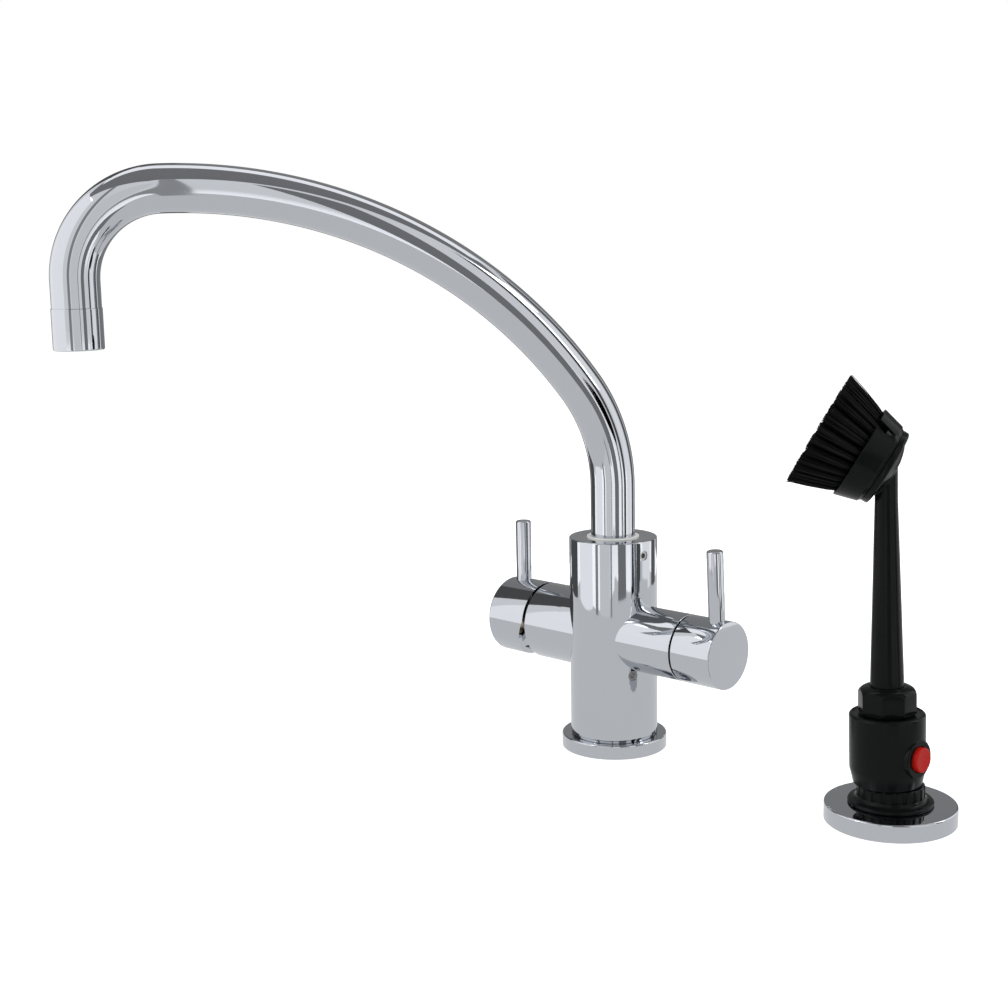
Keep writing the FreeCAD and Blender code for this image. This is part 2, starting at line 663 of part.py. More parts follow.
def mixer_cartridge():
    inside = CARTRIDGE_R - CARTRIDGE_WALL
    shell = turned(
        "cartridge_shell",
        [
            (0, MIXER_FLOOR + 1.0),
            (CARTRIDGE_R, MIXER_FLOOR + 1.0),
            (CARTRIDGE_R, CARTRIDGE_TOP),
            (13.8, CARTRIDGE_TOP),
            (13.8, CARTRIDGE_TOP - 1.5),
            (inside, CARTRIDGE_TOP - 1.5),
            (inside, DISC_STACK),
            (0, DISC_STACK),
        ],
        ALONG_LEFT,
    )
    fixed = turned("fixed_ceramic_disc", solid_outline(13.5, DISC_STACK, DISC_STACK + 4), ALONG_LEFT)
    seals = []
    for index, (x, y) in enumerate(CARTRIDGE_PORTS):
        drill(shell, f"port_{index}", "XY", DISC_STACK, PORT_R, 10, x, y)
        drill(fixed, f"port_{index}", "XY", DISC_STACK + 4, PORT_R, 10, x, y)
        place = Vector(x, y, MIXER_FLOOR)
        seals.append(Part.makeCylinder(PORT_R + 1.4, 1.0, place).cut(Part.makeCylinder(PORT_R, 1.0, place)))
    group_of("cartridge_seals", seals).Placement = ALONG_LEFT

    moving_foot, moving_top = DISC_STACK + 4.05, DISC_STACK + 7.1
    moving = turned("moving_ceramic_disc", solid_outline(11.5, moving_foot, moving_top), ALONG_LEFT)
    drill(moving, "chamber", "XY", moving_foot, 8.0, 1.2, onward=True)

    turret = turned(
        "cartridge_turret",
        [
            (0, moving_top),
            (14.4, moving_top),
            (14.4, CARTRIDGE_TOP - 1.7),
            (NUT_HOLE_R - 0.3, CARTRIDGE_TOP - 1.7),
            (NUT_HOLE_R - 0.3, NUT_TOP + 1.2),
            (0, NUT_TOP + 1.2),
        ],
        ALONG_LEFT,
    )
    slot = new_sketch(turret, "slot_outline", "XY", NUT_TOP + 1.2)
    draw_outline(slot, oblong(8.0, STEM_HALF + 0.15))
    pocket(turret, "slot", slot, NUT_TOP + 1.2 - moving_top - 2.0)
    pin_hole = new_sketch(turret, "pin_circle", "XZ")
    draw_circle(pin_hole, PIN_R, 0, S.mixer_pivot)
    pocket(turret, "pin_hole", pin_hole, 60, Midplane=True)

    pin = turned("tilting_pin", solid_outline(PIN_R, -9.6, 9.6))
    pin.Placement = ALONG_LEFT * Placement(Vector(0, 0, S.mixer_pivot.value), Rotation(Vector(1, 0, 0), 90))

    nut = turned("cartridge_nut", ring_outline(NUT_HOLE_R, NUT_R, CARTRIDGE_TOP, NUT_TOP), ALONG_LEFT)
    notch = draw_outline(
        new_sketch(nut, "key_notch", "XY", NUT_TOP),
        [(14.6, -1.6), (17.5, -1.6), (17.5, 1.6), (14.6, 1.6)],
    )
    around(nut, "key_notches", pocket(nut, "key_notch_cut", notch, 3), 6)


CARTRIDGE_PORTS, PORT_R = [(0.0, HOT_Y), (0.0, -HOT_Y), (MIXED_RISE, 0.0)], 2.6


def mixer_handle():
    """Cap, square stem, lever rod and screw: they tilt together about the pin."""
    stem = new_body("cartridge_stem")
    square = draw_outline(new_sketch(stem, "square", "XY", STEM_START), oblong(STEM_HALF, STEM_HALF))
    pad(stem, "bar", square, STEM_END - STEM_START)
    eye = draw_circle(new_sketch(stem, "eye_circle", "XZ"), PIN_R + PART_GAP, 0, S.mixer_pivot)
    pocket(stem, "eye", eye, 40, Midplane=True)
    stem.Placement = ALONG_LEFT

    radius, inside = S.mixer_branch_dia / 2, 17.2
    cap = turned(
        "mixer_cap",
        [
            (0, STEM_END - 8),
            (7.5, STEM_END - 8),
            (7.5, STEM_END - 1),
            (inside, STEM_END - 1),
            (inside, S.mixer_cap_start),
            (radius, S.mixer_cap_start),
            (radius, S.mixer_cap_end),
            (0, S.mixer_cap_end),
        ],
        ALONG_LEFT,
    )
    soften(cap, "face_round", rims(cap, radius, S.mixer_cap_end), 0.9)
    # the lower rim is cut back on a slope, so the cap can tilt down without meeting the branch
    slope_start, below = 2.3, 26.0
    run = (slope_start + below) * math.tan(math.radians(S.mixer_bevel.value))
    rim = S.mixer_cap_start
    bevel = draw_outline(
        new_sketch(cap, "bevel_outline", "XZ"),
        [(slope_start, rim), (-below, rim + run), (-below, rim - 4), (slope_start, rim - 4)],
    )
    pocket(cap, "bevel", bevel, 60, Midplane=True)
    socket = draw_outline(new_sketch(cap, "stem_socket", "XY", STEM_END - 8), oblong(STEM_HALF, STEM_HALF))
    pocket(cap, "stem_socket_cut", socket, 8, Reversed=True)
    lever_hole = draw_circle(
        new_sketch(cap, "lever_circle", "YZ", radius + 1), S.lever_dia / 2, 0, S.mixer_lever_place
    )
    pocket(cap, "lever_hole", lever_hole, LEVER_SEAT)
    screw_hole = draw_circle(new_sketch(cap, "screw_circle", "XZ", -radius - 1), 2.0, 0, STEM_END - 3.6)
    pocket(cap, "screw_hole", screw_hole, radius + 1 - STEM_HALF, Reversed=True)
    lever_rod("mixer_lever", S.mixer_lever_place, -1, S.mixer_branch_dia / 2, Placement())
    screw = turned(
        "mixer_cap_screw",
        solid_outline(2.0, STEM_HALF, radius - 1.5),
        ALONG_LEFT * Placement(Vector(0, 0, STEM_END - 3.6), Rotation(Vector(1, 0, 0), -90)),
    )
    hex_socket(screw, radius - 1.5, 1.0, 2.5)


LEVER_SEAT = 9.0


def lever_rod(label, place, side, cap_radius, lean):
    """A plain rod set in the top of its cap, with a rounded tip."""
    foot = S.handle_axis + cap_radius + 1 - LEVER_SEAT
    body = turned(label, solid_outline(S.lever_dia / 2, foot, S.lever_top))
    soften(body, "tip_round", rims(body, S.lever_dia / 2, S.lever_top), 0.8)
    body.Placement = lean * Placement(Vector(side * place.value, 0, 0), Rotation())


# ---------------------------------------------------------------------------------------------------------
# Right handle: quarter-turn ceramic valve.  Heights are distances from the tap's axis.
# ---------------------------------------------------------------------------------------------------------
HEADWORK_BORE_R, SPINDLE_R, SPINDLE_END = 6.0, 4.0, 62.0
CAP_BOSS_START = 52.0


def ceramic_valve():
    turned("valve_seat_washer", ring_outline(6.0, 10.0, VALVE_FLOOR, VALVE_FLOOR + 2), ALONG_RIGHT)
    headwork = turned(
        "valve_headwork",
        [
            (HEADWORK_BORE_R, VALVE_FLOOR + 2),
            (9.8, VALVE_FLOOR + 2),
            (9.8, VALVE_FLOOR + 9),
            (VALVE_CHAMBER_R, VALVE_FLOOR + 9),
            (VALVE_CHAMBER_R, VALVE_SHOULDER),
            (VALVE_MOUTH_R - 0.1, VALVE_SHOULDER),
            (VALVE_MOUTH_R - 0.1, VALVE_SHOULDER + 6),
            (SPINDLE_R + PART_GAP, VALVE_SHOULDER + 6),
            (SPINDLE_R + PART_GAP, VALVE_SHOULDER - 4),
            (HEADWORK_BORE_R, VALVE_SHOULDER - 4),
        ],
        ALONG_RIGHT,
    )
    window = draw_outline(
        new_sketch(headwork, "window_outline", "XZ"),
        [(-20, VALVE_FLOOR + 4.5), (20, VALVE_FLOOR + 4.5), (20, VALVE_FLOOR + 8), (-20, VALVE_FLOOR + 8)],
    )
    pocket(headwork, "outlet_windows", window, 9, Midplane=True)
    fixed = turned(
        "valve_fixed_disc", solid_outline(HEADWORK_BORE_R, VALVE_FLOOR + 2, VALVE_FLOOR + 4.5), ALONG_RIGHT
    )
    moving = turned(
        "valve_moving_disc",
        solid_outline(HEADWORK_BORE_R - 0.1, VALVE_FLOOR + 4.55, VALVE_FLOOR + 7.6),
        RIGHT_HANDLE,
    )
    for disc, top in ((fixed, VALVE_FLOOR + 4.5), (moving, VALVE_FLOOR + 7.6)):
        hole = draw_circle(new_sketch(disc, "way_circle", "XY", top), 1.7, 3.2)
        around(disc, "ways", pocket(disc, "way", hole, 5), 2)
    spindle = turned(
        "valve_spindle",
        [
            (0, VALVE_FLOOR + 7.6),
            (HEADWORK_BORE_R - PART_GAP, VALVE_FLOOR + 7.6),
            (HEADWORK_BORE_R - PART_GAP, VALVE_SHOULDER - 7.5),
            (4.4, VALVE_SHOULDER - 7.5),
            (4.4, VALVE_SHOULDER - 5.6),
            (HEADWORK_BORE_R - PART_GAP, VALVE_SHOULDER - 5.6),
            (HEADWORK_BORE_R - PART_GAP, VALVE_SHOULDER - 4.2),
            (SPINDLE_R, VALVE_SHOULDER - 4.2),
            (SPINDLE_R, SPINDLE_END),
            (0, SPINDLE_END),
        ],
        RIGHT_HANDLE,
    )
    spline = draw_outline(
        new_sketch(spindle, "spline_gap", "XY", SPINDLE_END),
        [(SPINDLE_R - 0.5, 0), (SPINDLE_R + 0.5, -0.6), (SPINDLE_R + 0.5, 0.6)],
    )
    around(spindle, "splines", pocket(spindle, "spline_cut", spline, 9), 16)
    o_ring("spindle_o_ring", 4.4, VALVE_SHOULDER - 6.55, RIGHT_HANDLE)


def valve_handle():
    radius, inside = S.valve_branch_dia / 2, 14.4
    cap = turned(
        "valve_cap",
        [
            (SPINDLE_R, CAP_BOSS_START),
            (7.0, CAP_BOSS_START),
            (7.0, SPINDLE_END - 4),
            (inside, SPINDLE_END - 4),
            (inside, S.valve_cap_start),
            (radius, S.valve_cap_start),
            (radius, S.valve_cap_end),
            (0, S.valve_cap_end),
            (0, SPINDLE_END),
            (SPINDLE_R, SPINDLE_END),
        ],
        RIGHT_HANDLE,
    )
    soften(cap, "face_round", rims(cap, radius, S.valve_cap_end), 0.5)
    # local -X is up on this side
    lever_hole = draw_circle(
        new_sketch(cap, "lever_circle", "YZ", -radius - 1), S.lever_dia / 2, 0, S.valve_lever_place
    )
    pocket(cap, "lever_hole", lever_hole, LEVER_SEAT, Reversed=True)
    screw_hole = draw_circle(new_sketch(cap, "screw_circle", "YZ", radius + 1), 2.0, 0, CAP_BOSS_START + 5)
    pocket(cap, "screw_hole", screw_hole, radius + 1 - SPINDLE_R)
    lever_rod("valve_lever", S.valve_lever_place, 1, S.valve_branch_dia / 2, RIGHT_LEAN)
    screw = turned(
        "valve_cap_screw",
        solid_outline(2.0, SPINDLE_R, radius - 1.5),
        RIGHT_HANDLE * Placement(Vector(0, 0, CAP_BOSS_START + 5), Rotation(Vector(0, 1, 0), 90)),
    )
    hex_socket(screw, radius - 1.5, 1.0, 2.5)


# ---------------------------------------------------------------------------------------------------------
# Brush station on the deck
# ---------------------------------------------------------------------------------------------------------
RING_SEAL_INNER, RING_SEAL_OUTER = 18.0, 26.0
BUSH_LAND_WIDTH, BUSH_RECESS, NECK_FOOT, RIB_COUNT = 0.6, 0.3, 11.2, 20


def deck_parts():
    bore, seat, step = S.ring_bore / 2, S.bush_spigot_dia / 2, S.ring_thread
    ring_half = [
        (bore, 0),
        (S.ring_dia / 2, 0),
        (S.ring_dia / 2, S.ring_height),
        (seat, S.ring_height),
        (seat, step),
        (bore, step),
    ]
    ring = turned("deck_ring", ring_half, STATION)
    soften(ring, "top_round", rims(ring, S.ring_dia / 2, S.ring_height), 0.7)
    groove = draw_outline(
        new_sketch(ring, "seal_groove"), ring_outline(RING_SEAL_INNER, RING_SEAL_OUTER, 0, SEAL_DEPTH)
    )
    revolve(ring, "seal_groove_cut", groove, removes=True)
    turned("deck_ring_seal", ring_outline(RING_SEAL_INNER, RING_SEAL_OUTER, 0, SEAL_DEPTH), STATION)

    collar, neck = S.bush_collar_dia / 2, S.bush_neck_dia / 2
    bush = turned(
        "guide_bush",
        [
            (S.bush_bore / 2, step + BUSH_RECESS),
            (seat - BUSH_LAND_WIDTH, step + BUSH_RECESS),
            (seat - BUSH_LAND_WIDTH, step),
            (seat, step),
            (seat, S.ring_height),
            (collar - 0.55, S.ring_height),
            (collar - 0.45, S.ring_height + 1.8, -1.1),
            (neck - 0.4, NECK_FOOT + 0.6, 9.0),
            (neck, NECK_FOOT + 1.4),
            (neck, S.bush_top - 0.6),
            (neck - 0.6, S.bush_top),
            (S.bush_bore / 2, S.bush_top),
        ],
        STATION,
    )
    rib_gap = draw_outline(
        new_sketch(bush, "rib_gap", "XY", S.bush_top),
        [(neck - 0.7, -0.9), (neck + 0.6, -1.2), (neck + 0.6, 1.2), (neck - 0.7, 0.9)],
    )
    around(bush, "rib_gaps", pocket(bush, "rib_gap_cut", rib_gap, S.bush_top - NECK_FOOT - 1.6), RIB_COUNT)


# ---------------------------------------------------------------------------------------------------------
# Hand unit.  Heights are distances above its seat on its own axis.
# ---------------------------------------------------------------------------------------------------------
NIPPLE_BOTTOM, NIPPLE_FLANGE, NIPPLE_SHOULDER, NIPPLE_SPIGOT_TOP = -11.0, -2.1, -0.3, 11.0
VALVE_BODY_FOOT, CONE_TOP = 0.0, 6.5
WATERWAY_R, STUB_R, STUB_TOP = 3.6, 9.4, 38.0
GRIP_FLANGE_R, GRIP_FLANGE_TOP, GRIP_WAY_R = 8.8, 40.6, 2.4
# along the button's axis, from the hand unit's axis
BOSS_R, BOSS_FACE, BEZEL_BACK = 8.6, 16.7, 15.0
BUTTON_HOLLOW_R, BUTTON_STOP, FLANGE_BACK, FLANGE_FRONT = 6.7, 10.4, 12.6, 14.9
SPRING_POCKET_R, SPRING_FLOOR, SPRING_WIRE, SPRING_R = 5.2, 6.0, 0.7, 4.2
PLUNGER_R, PLUNGER_TIP, GUIDE_R = 1.8, -2.4, 1.9


def hose_nipple():
    """The hose's end: it stays with the hose while the hand unit turns on it."""
    spigot = S.nipple_spigot_dia / 2
    turned(
        "hose_nipple",
        [
            (3.5, NIPPLE_BOTTOM),
            (S.nipple_dia / 2, NIPPLE_BOTTOM),
            (S.nipple_dia / 2, NIPPLE_FLANGE),
            (8.8, NIPPLE_FLANGE),
            (8.8, NIPPLE_SHOULDER),
            (spigot, NIPPLE_SHOULDER),
            (spigot, 3.2),
            (spigot - 1.5, 3.2),
            (spigot - 1.5, 4.9),
            (spigot, 4.9),
            (spigot, 8.2),
            (spigot - 1.0, 8.2),
            (spigot - 1.0, 9.5),
            (spigot, 9.5),
            (spigot, NIPPLE_SPIGOT_TOP),
            (3.5, NIPPLE_SPIGOT_TOP),
        ],
        HAND,
    )
    o_ring("nipple_o_ring", spigot - SEAL_WIRE, 4.05, HAND)


def valve_body():
    """The black body of the hand unit, with the button's boss on its side."""
    radius = S.valve_body_dia / 2
    body = turned(
        "spray_valve_body",
        [
            (0, VALVE_BODY_FOOT),
            (radius - 1.6, VALVE_BODY_FOOT),
            (radius, CONE_TOP),
            (radius, S.valve_body_top),
            (radius - 1.8, S.valve_body_top),
            (radius - 1.8, S.valve_body_top - 0.7),
            (STUB_R, S.valve_body_top - 0.7),
            (STUB_R, STUB_TOP),
            (0, STUB_TOP),
        ],
        HAND,
    )
    soften(body, "shoulder_round", rims(body, radius, S.valve_body_top), 1.0)
    side = Placement(Vector(0, 0, S.button_height.value), BUTTON_SIDE)
    boss = new_sketch(body, "boss_circle", "XY")
    boss.AttachmentOffset = side * Placement(Vector(0, 0, BUTTON_STOP), Rotation())
    pad(body, "boss", draw_circle(boss, BOSS_R), BOSS_FACE - BUTTON_STOP)
    for name, radius_here, start, depth in (
        ("bezel_seat", BOSS_R - 1.2, BOSS_FACE, BOSS_FACE - BEZEL_BACK),
        ("button_hollow", BUTTON_HOLLOW_R, BOSS_FACE, BOSS_FACE - BUTTON_STOP),
        ("spring_pocket", SPRING_POCKET_R, BUTTON_STOP, BUTTON_STOP - SPRING_FLOOR),
        ("plunger_guide", GUIDE_R, SPRING_FLOOR, SPRING_FLOOR + 8.0),
    ):
        sketch = new_sketch(body, name + "_circle", "XY")
        sketch.AttachmentOffset = side * Placement(Vector(0, 0, start), Rotation())
        pocket(body, name, draw_circle(sketch, radius_here), depth)
    for name, way_radius, start, depth in (
        ("nipple_bore", S.nipple_spigot_dia / 2 + PART_GAP, VALVE_BODY_FOOT, 11.3),
        ("waterway", WATERWAY_R, VALVE_BODY_FOOT, STUB_TOP),
    ):
        circle = draw_circle(new_sketch(body, name + "_circle", "XY", start), way_radius)
        pocket(body, name, circle, depth, Reversed=True)


BUTTON_SIDE = Rotation(Vector(0, 0, 1), S.button_turn.value) * Rotation(Vector(0, 1, 0), 90)


def push_button():
    lip = S.button_dia / 2 + 0.12
    turned("button_bezel", ring_outline(lip, BOSS_R - 1.2, BEZEL_BACK, BOSS_FACE), BUTTON)
    body = turned(
        "push_button",
        [
            (0, PLUNGER_TIP),
            (PLUNGER_R, PLUNGER_TIP),
            (PLUNGER_R, FLANGE_BACK),
            (BUTTON_HOLLOW_R - 0.15, FLANGE_BACK),
            (BUTTON_HOLLOW_R - 0.15, FLANGE_FRONT),
            (S.button_dia / 2, FLANGE_FRONT),
            (S.button_dia / 2, S.button_face),
            (0, S.button_face),
        ],
        BUTTON,
    )
    soften(body, "face_round", rims(body, S.button_dia / 2, S.button_face), 0.7)
    room = SPRING_WIRE / 2 + 0.05
    spring = coil(SPRING_R, SPRING_WIRE, SPRING_FLOOR + room, FLANGE_BACK - room, 14)
    group_of("button_spring", [spring]).Placement = BUTTON


def coil(radius, wire, low, high, quarters):
    """One unbroken wire wound up the Z axis, each quarter turn in two arcs that run into each other."""
    climb = (high - low) / quarters
    steep = climb / (radius * math.pi / 2)

    def point(turn):
        angle = turn * math.pi / 2
        return Vector(radius * math.cos(angle), radius * math.sin(angle), low + climb * turn)

    def heading(turn):
        angle = turn * math.pi / 2
        return Vector(-math.sin(angle), math.cos(angle), steep).normalize()

    edges = []
    for turn in range(quarters):
        first, last, leave, arrive = point(turn), point(turn + 1), heading(turn), heading(turn + 1)
        way, both, spread = last - first, leave + arrive, 2 * (1 - leave.dot(arrive))
        reach = (-way.dot(both) + math.sqrt(way.dot(both) ** 2 + spread * way.dot(way))) / spread
        joint = (first + last + (leave - arrive) * reach) / 2
        edges.append(arc_leaving(first, leave, joint))
        edges.append(arc_leaving(last, arrive * -1, joint, backwards=True))
    least = min(2 * math.pi * radius * steep - wire, 2 * radius - wire)
    print(f"spring: least gap between its turns {least:.2f} mm")
    section = Part.Wire(Part.makeCircle(wire / 2, point(0), heading(0)))
    return Part.Wire(edges).makePipeShell([section], True, False)


def arc_leaving(start, heading, stop, backwards=False):
    """The arc that leaves start along heading and ends at stop."""
    chord = stop - start
    along = Vector(chord).normalize()
    side = heading - along * heading.dot(along)
    bulge = chord.Length / 2 * math.tan(heading.getAngle(chord) / 2)
    middle = start + chord / 2 + side.normalize() * bulge
    ends = (stop, start) if backwards else (start, stop)
    return Part.Arc(ends[0], middle, ends[1]).toShape()


def union_nut():
    """Nut with eight flats and a domed crown, holding the handle's flange on the valve body."""
    body = new_body("union_nut")
    foot, flat = S.valve_body_top + 0.1, S.nut_flats / 2
    octagon = draw_outline(new_sketch(body, "octagon", "XY", foot), polygon(8, S.nut_flats / 2))
    pad(body, "flats", octagon, S.nut_top - foot)
    crown = [
        (flat - 0.2, S.nut_top - 2.6),
        (flat + 3, S.nut_top - 4.4),
        (flat + 3, S.nut_top + 1),
        (S.grip_foot_dia / 2 + 1.6, S.nut_top + 1),
        (S.grip_foot_dia / 2 + 1.6, S.nut_top),
    ]
    revolve(body, "crown", draw_outline(new_sketch(body, "crown_outline"), crown), removes=True)
    chamfer = [
        (flat + 0.3, foot - 1),
        (flat + 3, foot - 1),
        (flat + 3, foot + 1.5),
        (flat + 0.3, foot + 0.2),
    ]
    revolve(body, "chamfer", draw_outline(new_sketch(body, "chamfer_outline"), chamfer), removes=True)
    bore = [
        (0, foot),
        (STUB_R + 0.05, foot),
        (STUB_R + 0.05, GRIP_FLANGE_TOP + 0.1),
        (S.grip_foot_dia / 2 + 0.15, GRIP_FLANGE_TOP + 0.1),
        (S.grip_foot_dia / 2 + 0.15, S.nut_top),
        (0, S.nut_top),
    ]
    revolve(body, "bore", draw_outline(new_sketch(body, "bore_outline"), bore), removes=True)
    body.Placement = HAND * Placement(Vector(0, 0, 0), Rotation(Vector(0, 0, 1), S.nut_turn.value))


def brush_handle():
    """One moulding: flange, tapered grip and the tilted disc that carries the brush."""
    body = new_body("brush_handle")
    foot, top = S.grip_foot_dia / 2, S.grip_top_dia / 2
    grip = [
        (0, STUB_TOP + 0.1),
        (GRIP_FLANGE_R, STUB_TOP + 0.1),
        (GRIP_FLANGE_R, GRIP_FLANGE_TOP),
        (foot, GRIP_FLANGE_TOP),
        (foot, S.nut_top + 0.5),
        (top, S.head_height - 14),
        (top, S.head_height),
        (0, S.head_height),
    ]
    revolve(body, "grip", draw_outline(new_sketch(body, "grip_outline"), grip))
    disc = new_sketch(body, "disc_outline", "XZ")
    # the sketch's own upright axis is the head's axis
    disc.AttachmentOffset = Placement(
        Vector(0, S.head_height.value, 0), Rotation(Vector(0, 0, 1), S.head_tilt.value - 90)
    ) * Placement(Vector(0, -S.head_setback.value, 0), Rotation())
    rim, front = S.head_disc_dia / 2, S.head_disc_thick
    draw_outline(
        disc,
        [
            (0, -2.0),
            (5.4, -1.55),
            (8.2, -0.9),
            (10.65, -0.05),
            (13.1, 1.0),
            (rim - 0.8, 1.2),
            (rim, 1.7),
            (rim, front),
            (0, front),
        ],
    )
    revolve(body, "disc", disc, axis="V_Axis")
    # the grip ends flush with the disc's front face
    front_face = HEAD_ON_HAND * Placement(Vector(0, 0, front.value), Rotation())
    above = new_sketch(body, "front_circle", "XY")
    above.AttachmentOffset = front_face
    pocket(body, "front_cut", draw_circle(above, rim - 3), 12, Reversed=True)
    lower = draw_circle(new_sketch(body, "way_circle", "XY", STUB_TOP + 0.1), GRIP_WAY_R)
    pocket(body, "grip_way", lower, S.head_height - STUB_TOP - 1.2, Reversed=True)
    upper = new_sketch(body, "head_way_circle", "XY")
    upper.AttachmentOffset = front_face
    pocket(body, "head_way", draw_circle(upper, GRIP_WAY_R), front + 0.8)
    body.Placement = HAND


def brush_head():
    """Cup, split band, bristle plate and bristle field.  Heights run along the head's axis."""
    back, rim = S.cup_back_dia / 2, S.cup_rim_dia / 2
    base, mouth = S.head_disc_thick + 0.05, S.head_disc_thick + S.cup_depth
    # the cup's outer wall is a cone; its own rim is low, and the split band carries it on to the mouth
    cone_foot, rim_height = base + 0.6, base + 6.2
    slope = (rim - back) / (mouth - cone_foot)
    cup_rim = back + slope * (rim_height - cone_foot)
    turned(
        "brush_cup",
        [
            (3.2, base),
            (back - 0.6, base),
            (back, cone_foot, -0.6),
            (cup_rim, rim_height),
            (cup_rim - 1.6, rim_height),
            (cup_rim - 1.6, base + 3.4),
            (3.2, base + 3.4),
        ],
        HEAD,
    )
    band_foot, skin, wall = base + 0.8, 0.05, 1.0
    inner_foot = back + slope * (band_foot - cone_foot) + skin
    band = turned(
        "cup_band",
        [
            (inner_foot, band_foot),
            (back + wall - 0.8, band_foot),
            (back + wall, band_foot + 1.0, -1.0),
            (rim + wall, mouth),
            (rim + skin, mouth),
        ],
        HEAD,
    )
    gap = new_sketch(band, "gap_outline", "XY")
    draw_outline(gap, [(-3.0, 12.0), (3.0, 12.0), (3.6, 26.0), (-3.6, 26.0)])
    gap_turn = Rotation(Vector(0, 0, 1), BAND_GAP_TURN)
    gap.AttachmentOffset = Placement(Vector(0, 0, mouth.value + 1), gap_turn)
    pocket(band, "gap", gap, 30)
    plate_foot, plate_top = base + 3.4, base + 6.2
    plate = turned("bristle_plate", solid_outline(cup_rim - 1.7, plate_foot, plate_top), HEAD)
    around(plate, "jets", drill(plate, "jet", "XY", plate_top, 0.8, 6, 3.2), 6)
    bristle_field(plate_top, mouth)
    turned("head_seal", ring_outline(2.5, 3.1, S.head_disc_thick, base + 1.5), HEAD)


BAND_GAP_TURN = 50.0


def bristle_field(foot, mouth):
    """The bristles as one flared pack with flutes between its tufts and an uneven tip face."""
    body = new_body("bristles")
    tip = mouth + S.bristle_length
    outline = [
        (0, foot),
        (S.bristle_root_dia / 2 - 1.0, foot),
        (S.bristle_root_dia / 2, mouth),
        (S.bristle_tip_dia / 2, tip - 0.8),
        (S.bristle_tip_dia / 2 - 2.0, tip),
        (12.0, tip - 1.5),
        (0, tip - 0.8),
    ]
    revolve(body, "pack", draw_outline(new_sketch(body, "pack_outline"), outline))
    flute = new_sketch(body, "flute_outline", "XY", tip)
    reach = S.bristle_tip_dia / 2
    draw_outline(flute, [(reach - 1.3, 0), (reach + 3, -1.6), (reach + 3, 1.6)])
    around(body, "flutes", pocket(body, "flute", flute, S.bristle_length - 1), 28)
    body.Placement = HEAD


# ---------------------------------------------------------------------------------------------------------
# Build, check and write
# ---------------------------------------------------------------------------------------------------------
PIECE_TYPES = ("PartDesign::Body", "Part::Feature")


def build():
    base_flange()
    base_seal()
    tap_body()
    side_screws()
    spout_fittings(spout_tube())
    mixer_cartridge()
    mixer_handle()
    ceramic_valve()
    valve_handle()
    deck_parts()
    hose_nipple()
    valve_body()
    push_button()
    union_nut()
    brush_handle()
    brush_head()
    doc.recompute()


def check_and_write():
    for item in doc.Objects:
        if "Invalid" in item.State or "Error" in item.State:
            raise RuntimeError(f"{item.Name} failed: {item.State}")
    os.makedirs("parts", exist_ok=True)
    pieces = [item for item in doc.Objects if item.TypeId in PIECE_TYPES]
    for piece in pieces:
        shape = piece.Shape
        if shape.isNull() or not shape.isValid() or shape.Volume <= 0:
            raise RuntimeError(f"{piece.Label} has no valid solid")
        shape.exportStep(f"parts/{piece.Label}.step")
    print(f"{len(pieces)} pieces written")


build()
check_and_write()
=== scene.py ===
"""Surfaces, finishes and stage for a two-handle kitchen tap with a swan spout and a rinsing brush beside it.

Lengths are metres in the object's own frame: origin on the tap's axis at the deck, +X along the handles
towards the brush, -Y to the user, +Z up.
"""
import json
import math
import random

import bmesh
import bpy
from mathutils import Matrix, Vector


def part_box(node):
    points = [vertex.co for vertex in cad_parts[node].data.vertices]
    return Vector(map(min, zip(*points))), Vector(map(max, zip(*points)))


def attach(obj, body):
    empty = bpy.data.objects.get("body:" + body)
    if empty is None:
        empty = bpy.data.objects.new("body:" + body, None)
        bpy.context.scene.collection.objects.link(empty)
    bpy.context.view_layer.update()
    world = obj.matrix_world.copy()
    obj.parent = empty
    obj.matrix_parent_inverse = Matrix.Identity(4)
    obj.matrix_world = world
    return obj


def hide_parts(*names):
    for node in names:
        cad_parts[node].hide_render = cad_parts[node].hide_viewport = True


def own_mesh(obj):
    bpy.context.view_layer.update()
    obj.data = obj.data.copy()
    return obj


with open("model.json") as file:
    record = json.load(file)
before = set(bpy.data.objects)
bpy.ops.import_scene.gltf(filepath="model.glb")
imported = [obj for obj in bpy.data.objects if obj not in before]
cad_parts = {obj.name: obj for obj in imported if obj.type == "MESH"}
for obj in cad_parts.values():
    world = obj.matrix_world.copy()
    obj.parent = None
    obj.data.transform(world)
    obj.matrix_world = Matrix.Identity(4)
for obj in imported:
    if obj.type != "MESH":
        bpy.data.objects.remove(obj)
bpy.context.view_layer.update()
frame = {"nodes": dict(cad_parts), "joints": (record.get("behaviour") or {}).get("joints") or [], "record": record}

bl_info = {
    "name": "Kitchen tap with rinsing brush",
    "version": (1, 0, 0),
    "blender": (4, 5, 0),
    "location": "3D View > Sidebar > Tap",
    "description": "Models the polished tap, its levers and the black rinsing brush with their finishes",
    "category": "Object",
}

MM = 0.001
JOINTS = {joint["name"]: joint for joint in frame["joints"]}


# ---------------------------------------------------------------------------------------------------------
# Places, read from the frame
# ---------------------------------------------------------------------------------------------------------
def low(node):
    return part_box(node)[0]


def high(node):
    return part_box(node)[1]


def middle(node):
    return (low(node) + high(node)) / 2


def half_width(node, axis="x"):
    return (getattr(high(node), axis) - getattr(low(node), axis)) / 2


def turn(degrees, axis):
    return Matrix.Rotation(math.radians(degrees), 4, axis)


